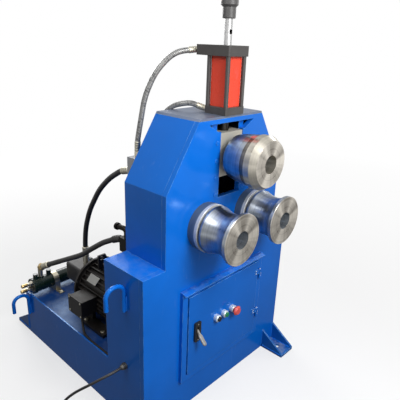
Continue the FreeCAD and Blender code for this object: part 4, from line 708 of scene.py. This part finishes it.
def weld_lines(lines, radius=2.6, pitch=3.4):
    """Weld beads along straight lines: a round section whose radius swells once each pitch, with jitter."""
    beads = []
    chance = np.random.default_rng(1)
    for start, end in lines:
        length = np.linalg.norm(end - start)
        count = max(int(length / (pitch * MM)) * 6, 12)
        run = np.linspace(0, length, count)
        swell = 1 + 0.16 * np.abs(np.sin(math.pi * run / (pitch * MM)))
        jitter = np.interp(run, np.linspace(0, length, 12), chance.normal(0, 0.10, 12))
        taper = np.clip(np.minimum(run, length - run) / (2.5 * MM) + 0.35, 0.35, 1)
        path = start + (end - start) * (run / length)[:, None]
        beads.append(closed_rings(tube(path, radius * MM * swell * taper * (1 + jitter), (0.31, 0.52, 0.8), 10)))
    return beads


# Supply cable
cable_r = 5 * MM
cable_route = spots(
    (-432, 103, 258), (-470, 103, 258), (-508, 117, 248), (-538, 145, 222), (-556, 180, 190), (-567, 217, 152),
    (-574, 252, 110), (-582, 279, 68), (-598, 291, 33), (-627, 291, 11), (-660, 281, 7), (-690, 254, 8),
    (-704, 224, 11), (plug_x, 191.9, 15))
coil_middle = at(-645, 155, 0)
turn_reach = 60
turn_pitch = 10.6
turn_level = 16
turn_points = 16
plug_entry = at(plug_x, 115.7, plug_z)


def coil_turns():
    """Seven turns lie in a bundle of seven places, six round one: (reach from the middle, level).

    A turn keeps its place until it moves over to the next one, which each later turn does a little
    earlier, so that the place is free. Points: middle + reach * (cos a, sin a) at the level.
    """
    rise = turn_pitch * math.sqrt(3) / 2
    places = np.array([(turn_pitch, 0), (turn_pitch / 2, -rise), (-turn_pitch / 2, -rise), (-turn_pitch, 0), (0, 0),
                       (-turn_pitch / 2, rise), (turn_pitch / 2, rise)])
    places += (turn_reach - turn_pitch, turn_level)
    moves = np.arange(len(places) - 1)
    starts = 0.85 + 0.9 * moves
    lap = np.arange(1, len(places) * turn_points) / turn_points
    change = np.clip((lap[:, None] - starts) / 0.2, 0, 1).sum(axis=1)
    reach = np.interp(change, np.arange(len(places)), places[:, 0]) / math.cos(math.pi / turn_points)
    level = np.interp(change, np.arange(len(places)), places[:, 1])
    angle = math.pi + 2 * math.pi * lap
    return coil_middle + MM * np.stack([reach * np.cos(angle), reach * np.sin(angle), level], axis=1)


def supply_cable():
    """The cable as one smooth spline with a round section, from its gland through its coil to the plug."""
    points = np.vstack([cable_route, coil_turns(), spots((-702, 138, plug_z)), plug_entry[None]])
    curve = bpy.data.curves.new("supply_cable", "CURVE")
    curve.dimensions = "3D"
    curve.bevel_depth = cable_r
    curve.bevel_resolution = 4
    curve.resolution_u = 5
    curve.use_fill_caps = True
    line = curve.splines.new("NURBS")
    line.points.add(len(points) - 1)
    line.points.foreach_set("co", np.hstack([points, np.ones((len(points), 1))]).ravel())
    line.order_u = 3
    line.use_endpoint_u = True
    curve.materials.append(finishes["cable_black"])
    cable = new_object("supply_cable", curve)
    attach(cable, "frame")
    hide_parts("power_cable", "cable_coil")


supply_cable()

# Hoses on the same routes as the solids, with the weave or rubber of the real ones
pressure_path = arc_path(
    400, *[(pressure_x, y, z) for y, z in (
        (643, 430), (643, 500), (629, 582), (590, 675), (511, 788), (433, 857), (360, 902))],
    (-212, 322, 914), (-212, 310, 914))
return_path = arc_path(
    400, (-328, 679.5, 429.5), (-304, 533, 508), (-298, 459, 563), (-292, 389, 613), (-284, 330, 645),
    (-276, 304, 658), (-276, 290, 658))
elbow_path = arc_path(24, (-352, cooler_y, 306), (-352, cooler_y, 351), (-328, 679.5, 429.5))
head_path = arc_path(
    300, (-30.25, 148.25, 1353), (-30.25, 156.25, 1353), (-104, 192, 1342), (-158, 227, 1276), (-189, 248, 1190),
    (-205, 258, 1083), (-212, 262, 1035), (-212, 262, 998))
base_path = arc_path(
    300, (-30.25, 105.3, 1157), (-30.25, 115.3, 1157), (-60, 148, 1173), (-80, 178, 1167), (-90, 207, 1158),
    (-99, 232, 1138), (-120, 250, 1092), (-158, 262, 1035), (-158, 262, 998))
drive_paths = [
    arc_path(60, (-170, 302, 902), (-170, 346, 902), (-66, 362, 878), (-16, 348, 870), (-16, 348, 846)),
    arc_path(60, (-145, 302, 926), (-145, 346, 926), (-34, 362, 910), (16, 348, 902), (16, 348, 846))]


def add_hose(name, paths, radius, slot, node=None, uv=False, across=(1, 0, 0)):
    """Hoses along several paths as one piece, in place of a node."""
    rings = [hose(path, radius, across) for path in paths]
    run = np.vstack([run_uv(ring) for ring in rings]) if uv else None
    piece = add_piece(name, rings, "frame", slot, uv=run)
    if node:
        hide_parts(node)


add_hose("pressure_hose_rubber", [pressure_path], 11, "hose_rubber", "pressure_hose")
add_hose("return_hose_rubber", [return_path], 11, "hose_rubber", "return_hose")
add_hose("braid_sleeves", [head_path, base_path, *drive_paths], 9.8, "braid", "braided_hoses", uv=True,
         across=(0.9, 0.1, 0.3))

# Crimped ferrules and swivel nuts at the ends of the hoses
ferrule = [(0, 0), (0, 1.10), (2, 1.34), (7, 1.34), (8, 1.27), (12, 1.27), (13, 1.34), (17, 1.34), (18, 1.27),
           (22, 1.27), (23, 1.34), (27, 1.34), (28, 1.27), (32, 1.27), (33, 1.34), (41, 1.34), (43, 1.2), (43, 0)]
swivel = [(0, 0), (0, 1.5), (2, 1.62), (16, 1.62), (18, 1.5), (18, 0)]


def hose_ends(name, ends, profile, sides, finish, smooth=True):
    """The same end piece on several hoses: each end is (path, start in millimetres, radius, length factor).

    The profile's lengths are taken times the factor and its radii times the hose's radius.
    """
    sleeves = [sleeve(path, start, np.asarray(profile) * (length, radius), (0.2, 0.5, 0.4), sides)
               for path, start, radius, length in ends]
    add_piece(name, sleeves, "frame", "zinc", smooth, finish)


def before_end(path, length):
    """The place on a path a length in millimetres before its end, in millimetres from its start."""
    return run_along(path)[-1] / MM - length


pale_zinc = milled_steel("pale zinc ferrules", (0.50, 0.48, 0.40), (0.36, 0.32, 0.22), rough=0.36)
bolt_dark = casting("oiled bolts", (0.05, 0.048, 0.046), (0.12, 0.11, 0.10), rough=0.35, dust=0.2, metallic=0.6)
yellow_zinc = milled_steel("yellow zinc nuts", (0.62, 0.46, 0.22), (0.42, 0.29, 0.10), rough=0.3)
hose_ends("rubber_hose_ferrules", [
    (pressure_path, 0, 11, 1.15), (pressure_path, before_end(pressure_path, 43), 11, 1.0),
    (elbow_path, 70, 11.2, 1.15)], ferrule, 24, pale_zinc)
hose_ends("black_ferrule", [(return_path, before_end(return_path, 43), 11, 1.0)], ferrule, 24, bolt_dark)
hose_ends("braided_hose_ferrules", [
    (head_path, 0, 8.5, 0.85), (head_path, before_end(head_path, 36), 8.5, 0.85),
    (base_path, 0, 8.5, 0.75), (base_path, before_end(base_path, 36), 8.5, 0.85),
    (drive_paths[0], 0, 8.5, 0.6), (drive_paths[1], 0, 8.5, 0.6)], ferrule, 20, pale_zinc)
hose_ends("swivel_nuts", [(elbow_path, 46, 11.2, 1.2)], swivel, 6, yellow_zinc, smooth=False)
add_hose("elbow_rubber", [part_of(elbow_path, np.linspace(112 * MM, run_along(elbow_path)[-1], 12))], 11.6,
         "hose_rubber")

# Fasteners: profiles of (radius, along) with their heads rounded off
hex_head = [(0, 5.3), (6.2, 5.3), (7.4, 4.4), (7.4, 0), (0, 0)]
socket_head = [(0, 2.2), (2.6, 2.2), (2.6, 6), (4.4, 6), (5, 5.4), (5, 0), (0, 0)]
small_head = [(0, 1.4), (1.6, 1.4), (2.9, 0.8), (3.2, 0), (0, 0)]
rivet_head = [(0, 1.0), (1.4, 0.8), (2.1, 0), (0, 0)]


def add_heads(name, profile, places, way, factor=1.0, sides=16, finish=None, slot="zinc", body="frame"):
    """Heads of screws or bolts at several places in millimetres, all facing one way; few sides stay flat."""
    heads = turned(np.asarray(profile) * factor, spots(*places), way, sides)
    add_piece(name, heads, body, slot, sides > 8, finish)


def on_circle(middle, radius, turns, axis=1):
    """Places at some turns in radians on a circle about a line along an axis through a middle."""
    flat = radius * np.stack([np.cos(turns), np.sin(turns)], axis=1)
    return np.asarray(middle) + np.insert(flat, axis, 0, axis=1)


def on_square(x, y, z, half):
    """The four corners of an upright square about a middle, from its half side."""
    return [(x + side * half, y, z + rise * half) for side in (-1, 1) for rise in (-1, 1)]


for name, profile, way, factor, sides, finish, places in (
        ("gear_cover_bolts", hex_head, BACK, 0.9, 6, bolt_dark,
         [(x, 282, z) for x in (-160, -100, -40, 40, 100, 160) for z in (670, 862)] +
         [(x, 282, z) for x in (-222, 222) for z in (722, roll_z, 810)]),
        ("drive_motor_bolts", socket_head, BACK, 1.0, 16, bolt_dark,
         on_circle((0, 296, roll_z), 57, (0.785, 2.356, 3.927, 5.498))),
        ("terminal_box_screws", small_head, LEFT, 1.3, 16, None,
         [(-400, y, z) for y in (409, 489) for z in (305, 367)]),
        ("motor_ring_bolts", hex_head, FRONT, 0.62, 6, bolt_dark,
         on_circle((motor_x, 540, motor_z), 116.5, np.arange(8) * math.pi / 4 + 0.39)),
        ("cooler_cap_screws", socket_head, LEFT, 0.65, 16, bolt_dark,
         on_circle((-400, cooler_y, cooler_z), 31.5, (0.2, 2.2, 3.4, 5.3), axis=0)),
        ("clamp_bolts", hex_head, UP, 1.1, 6, None, [(x, 767, 220) for x in (-287.5, -137.5)]),
        ("valve_screws", socket_head, BACK, 0.9, 16, bolt_dark,
         [(x, 288, z) for x in (-232, -138) for z in (892, 968)]),
        ("pump_cover_bolts", hex_head, BACK, 0.9, 6, bolt_dark, on_square(motor_x, 735, motor_z, 33)),
        ("motor_foot_bolts", hex_head, UP, 1.2, 6, None,
         [(motor_x + side * 116, y, 230) for side in (-1, 1) for y in (352, 472)]),
        ("bell_bolts", hex_head, FRONT, 0.8, 6, bolt_dark, on_square(motor_x, 606, motor_z, 40))):
    add_heads(name, profile, places, way, factor, sides, finish)

# Hinges: domed pin heads and the screws of both leaves, and the screws of the isolator
pin_head = [(0, 2.6), (1.8, 2.2), (3.1, 1.0), (3.4, 0), (0, 0)]
add_heads("hinge_pins", pin_head, [(221, -19.8, top) for top in (274, 468)], UP, slot="bezel_metal")
for name, body, slot, x, y, levels in (("hinge_screws", "frame", "bezel_metal", 234.5, -17, (235, 246, 429, 440)),
                                       ("door_hinge_screws", "door", "bezel_metal", 196, -21, (258, 269, 452, 463)),
                                       ("isolator_screws", "door", "zinc", isolator_x, -27, (312, 380))):
    add_heads(name, small_head, [(x, y, z) for z in levels], FRONT, 0.9, 14, None, slot, body)

# Moulded grip on the isolator lever, along its slant
slant = math.sqrt(0.5)
pivot = at(isolator_x, -22, 350)


def grip(root, way, start, end, half_width, half_thick, rows=14, sides=20):
    """A rounded grip: its section is |x / width|^3 + |n / thick|^3 = 1, and its ends close as a quarter ellipse."""
    share = np.linspace(0, 1, rows)
    run = start + (end - start) * (1 - np.cos(math.pi * share)) / 2
    size = (1 - np.abs(2 * (run - start) / (end - start) - 1) ** 8) ** 0.5
    angle = np.linspace(0, 2 * math.pi, sides, endpoint=False)
    wide = np.sign(np.cos(angle)) * np.abs(np.cos(angle)) ** (2 / 3) * half_width
    thick = np.sign(np.sin(angle)) * np.abs(np.sin(angle)) ** (2 / 3) * half_thick
    off = np.array((0, way[2], -way[1]))
    spine = root + run[:, None] * MM * np.asarray(way)
    section = wide[None, :, None] * np.array((1.0, 0, 0)) + thick[None, :, None] * off
    return spine[:, None] + size[:, None, None] * MM * section


lever_grip = grip(pivot, (0, -slant, -slant), 14, 63, 8.5, 5.0)
add_piece("lever_grip", [lever_grip], "isolator_lever", "lever_grey")

# Rivets of the rating plate, square to its slant
plate_lift = slant * 111.5
corner_runs = [(u, v) for u in (-15, 15) for v in (4, 58)]
plate_spots = spots(*[(motor_x - plate_lift + u * slant, 431 + v, motor_z + plate_lift + u * slant)
                      for u, v in corner_runs])
add_piece("plate_rivets", turned(rivet_head, plate_spots, (-slant, 0, slant), 12), "frame", "zinc")

# Hose barbs on the cooler's water fittings, and the pins of the plug
barb = [(0, 0), (8.2, 0), (9.4, 3), (8.2, 8), (9.4, 11), (8.2, 16), (9.4, 19), (8.2, 24), (8.2, 27), (5.5, 27),
        (5.5, 12), (0, 12)]
add_heads("cooler_barbs", barb, [(-424, cooler_y - 6, cooler_z + 20), (-424, cooler_y + 6, cooler_z - 13)], LEFT,
          sides=24, finish=yellow_zinc)
pin_shape = [(0, 0), (2.4, 0), (2.4, 17), (1.6, 19), (0, 19)]
pin_places = on_circle((plug_x, 49.7, plug_z), 12, np.arange(5) * 2 * math.pi / 5 + 0.3)
add_heads("plug_pins", pin_shape, pin_places, FRONT, sides=12, finish=yellow_zinc)

# Ribs round the filler cap
rib_profile = [(0, 0), (1.6, 1), (1.6, 23), (0, 24)]
rib_places = spots(*on_circle((cap_x, cap_y, 234), 33.2, np.arange(28) * 2 * math.pi / 28, axis=2))
add_piece("filler_cap_ribs", turned(rib_profile, rib_places, UP, 8), "filler_cap", "black_plastic")

# Weld beads: gussets on their plates and walls, and the hooks on the walls
lines = []
for side in (-1, 1):
    for wall, away in ((0, -1), (rear_wall_y, 1)):
        for reach, out in ((wall_x, 1), (wall_x - 8, -1), (319, 1), (327, -1)):
            x = side * (reach + out * 0.5)
            near, far = wall + away * 6, wall + away * 112
            seam = wall + away * 0.5
            lines += [(at(x, near, 10.5), at(x, far, 10.5)), (at(x, seam, 14), at(x, seam, 92))]
    x = side * (wall_x + 1.5)
    for y, z in ((93, 498), (838, 122)):
        lines += [(at(x, y + offset, z + 3), at(x, y + offset, z + 60)) for offset in (-6.5, 6.5)]
add_piece("weld_beads", weld_lines(lines), "frame", "blue_paint")

# Rubber seal round the door opening
seal_run = spots(*[(x, -2, z) for x, z in ((-200, 175), (200, 175), (200, 499), (-200, 499), (-200, 175))])
seal_bars = []
for start, end in zip(seal_run[:-1], seal_run[1:]):
    bar = part_of(np.stack([start, end]), np.linspace(0, 1, 6) * np.linalg.norm(end - start))
    seal_bars.append(closed_rings(tube(bar, 2.2 * MM, (0.3, 1, 0.2), 10)))
add_piece("door_seal", seal_bars, "frame", "hose_rubber")

# Floor and backdrop: white to the camera, grey where a shadow falls, and in reflections dimmed near the machine as a
# painted shadow
FLOOR_REACH = 30.0


def white_floor():
    """A level sheet whose paint fades into plain white a few metres away."""
    made, tree, shader = material("pale floor", Roughness=0.9, Specular_IOR_Level=0.0)
    place = tree.place()
    reach = tree.add("VectorMath", {0: place}, operation="LENGTH").outputs["Value"]
    path = tree.add("LightPath").outputs
    mirrored = tree.most(path["Is Glossy Ray"], path["Is Transmission Ray"])
    seen = tree.most(path["Is Camera Ray"], mirrored)
    feed(tree, shader, Base_Color=tree.blend(path["Is Camera Ray"], (0.09, 0.09, 0.09), (0.6, 0.6, 0.6)))
    near, away = 1.2, 4.5
    far = tree.spread(reach, near, away, 0.5, 1.0)
    plain = tree.spread(reach, near, away, 1.24, 1.0)
    # Painted shadow in reflections: the floor's glow seen in mirrors is dim near the machine and white further off
    soft = tree.spread(reach, 0.6, away, 0.34, 1.0)
    strength = tree.add("Mix", {0: mirrored, 2: plain, 3: soft}).outputs[0]
    glow = tree.add("Emission", {"Color": (1, 1, 1), "Strength": strength}).outputs[0]
    mixed = tree.add("MixShader", {0: tree.times(seen, far), 1: shader.outputs[0], 2: glow})
    feed(tree, made.node_tree.nodes["Material Output"], Surface=mixed.outputs[0])
    corners = [(x * FLOOR_REACH, y * FLOOR_REACH, 0) for x, y in ((-1, -1), (1, -1), (1, 1), (-1, 1))]
    mesh = bpy.data.meshes.new("floor")
    mesh.from_pydata(corners, [], [(0, 1, 2, 3)])
    mesh.materials.append(made)
    new_object("floor", mesh)


def pale_world():
    """A pale hall: white to the camera, paler overhead than at the horizon in reflections, and soft light."""
    world = bpy.data.worlds.new("studio")
    world.use_nodes = True
    tree = Tree(world.node_tree)
    path = tree.add("LightPath").outputs
    height = tree.axes(tree.add("TexCoord").outputs["Generated"])["Z"]
    mirror = tree.most(path["Is Glossy Ray"], path["Is Transmission Ray"])
    lit = tree.spread(height, 0.0, 0.9, 0.06, 0.36)
    mirrored = tree.spread(height, 0.0, 0.6, 0.42, 1.0)
    strength = tree.add("Mix", {0: mirror, 2: lit, 3: mirrored}).outputs[0]
    strength = tree.add("Mix", {0: path["Is Camera Ray"], 2: strength, 3: 1.0}).outputs[0]
    back = world.node_tree.nodes["Background"]
    feed(tree, back, Strength=strength)
    fill(back.inputs["Color"], (1, 1, 1))
    bpy.context.scene.world = world


def lamp(name, place, aim, side, power):
    """A square soft lamp at a place, facing its aim."""
    data = bpy.data.lights.new(name, "AREA")
    data.size = side
    data.energy = power
    made = new_object(name, data)
    away = Vector(place) - Vector(aim)
    made.matrix_world = Matrix.Translation(place) @ away.to_track_quat("Z", "Y").to_matrix().to_4x4()
    made.visible_camera = False


white_floor()
pale_world()
lamp("key", (-0.25, -1.9, 2.05), (0, 0, 0.7), 0.7, 34)
lamp("fill", (-0.38, -1.5, 0.95), (-0.3, 0, 0.5), 1.1, 6)
lamp("top", (-0.4, 0.3, 4.2), (0, 0, 0.8), 2.0, 6)
lamp("near left", (-1.0, -0.36, 1.95), (-0.2, -0.36, 1.0), 0.6, 5)
lamp("left", (-2.2, 0.2, 3.4), (-0.2, 0.2, 0.6), 1.2, 5)
lamp("right", (3.4, -0.5, 2.4), (0, 0, 0.7), 1.2, 30)
lamp("rear", (1.2, 3.8, 2.6), (0, 0, 0.7), 2.0, 90)
bpy.context.scene.view_settings.view_transform = "Standard"
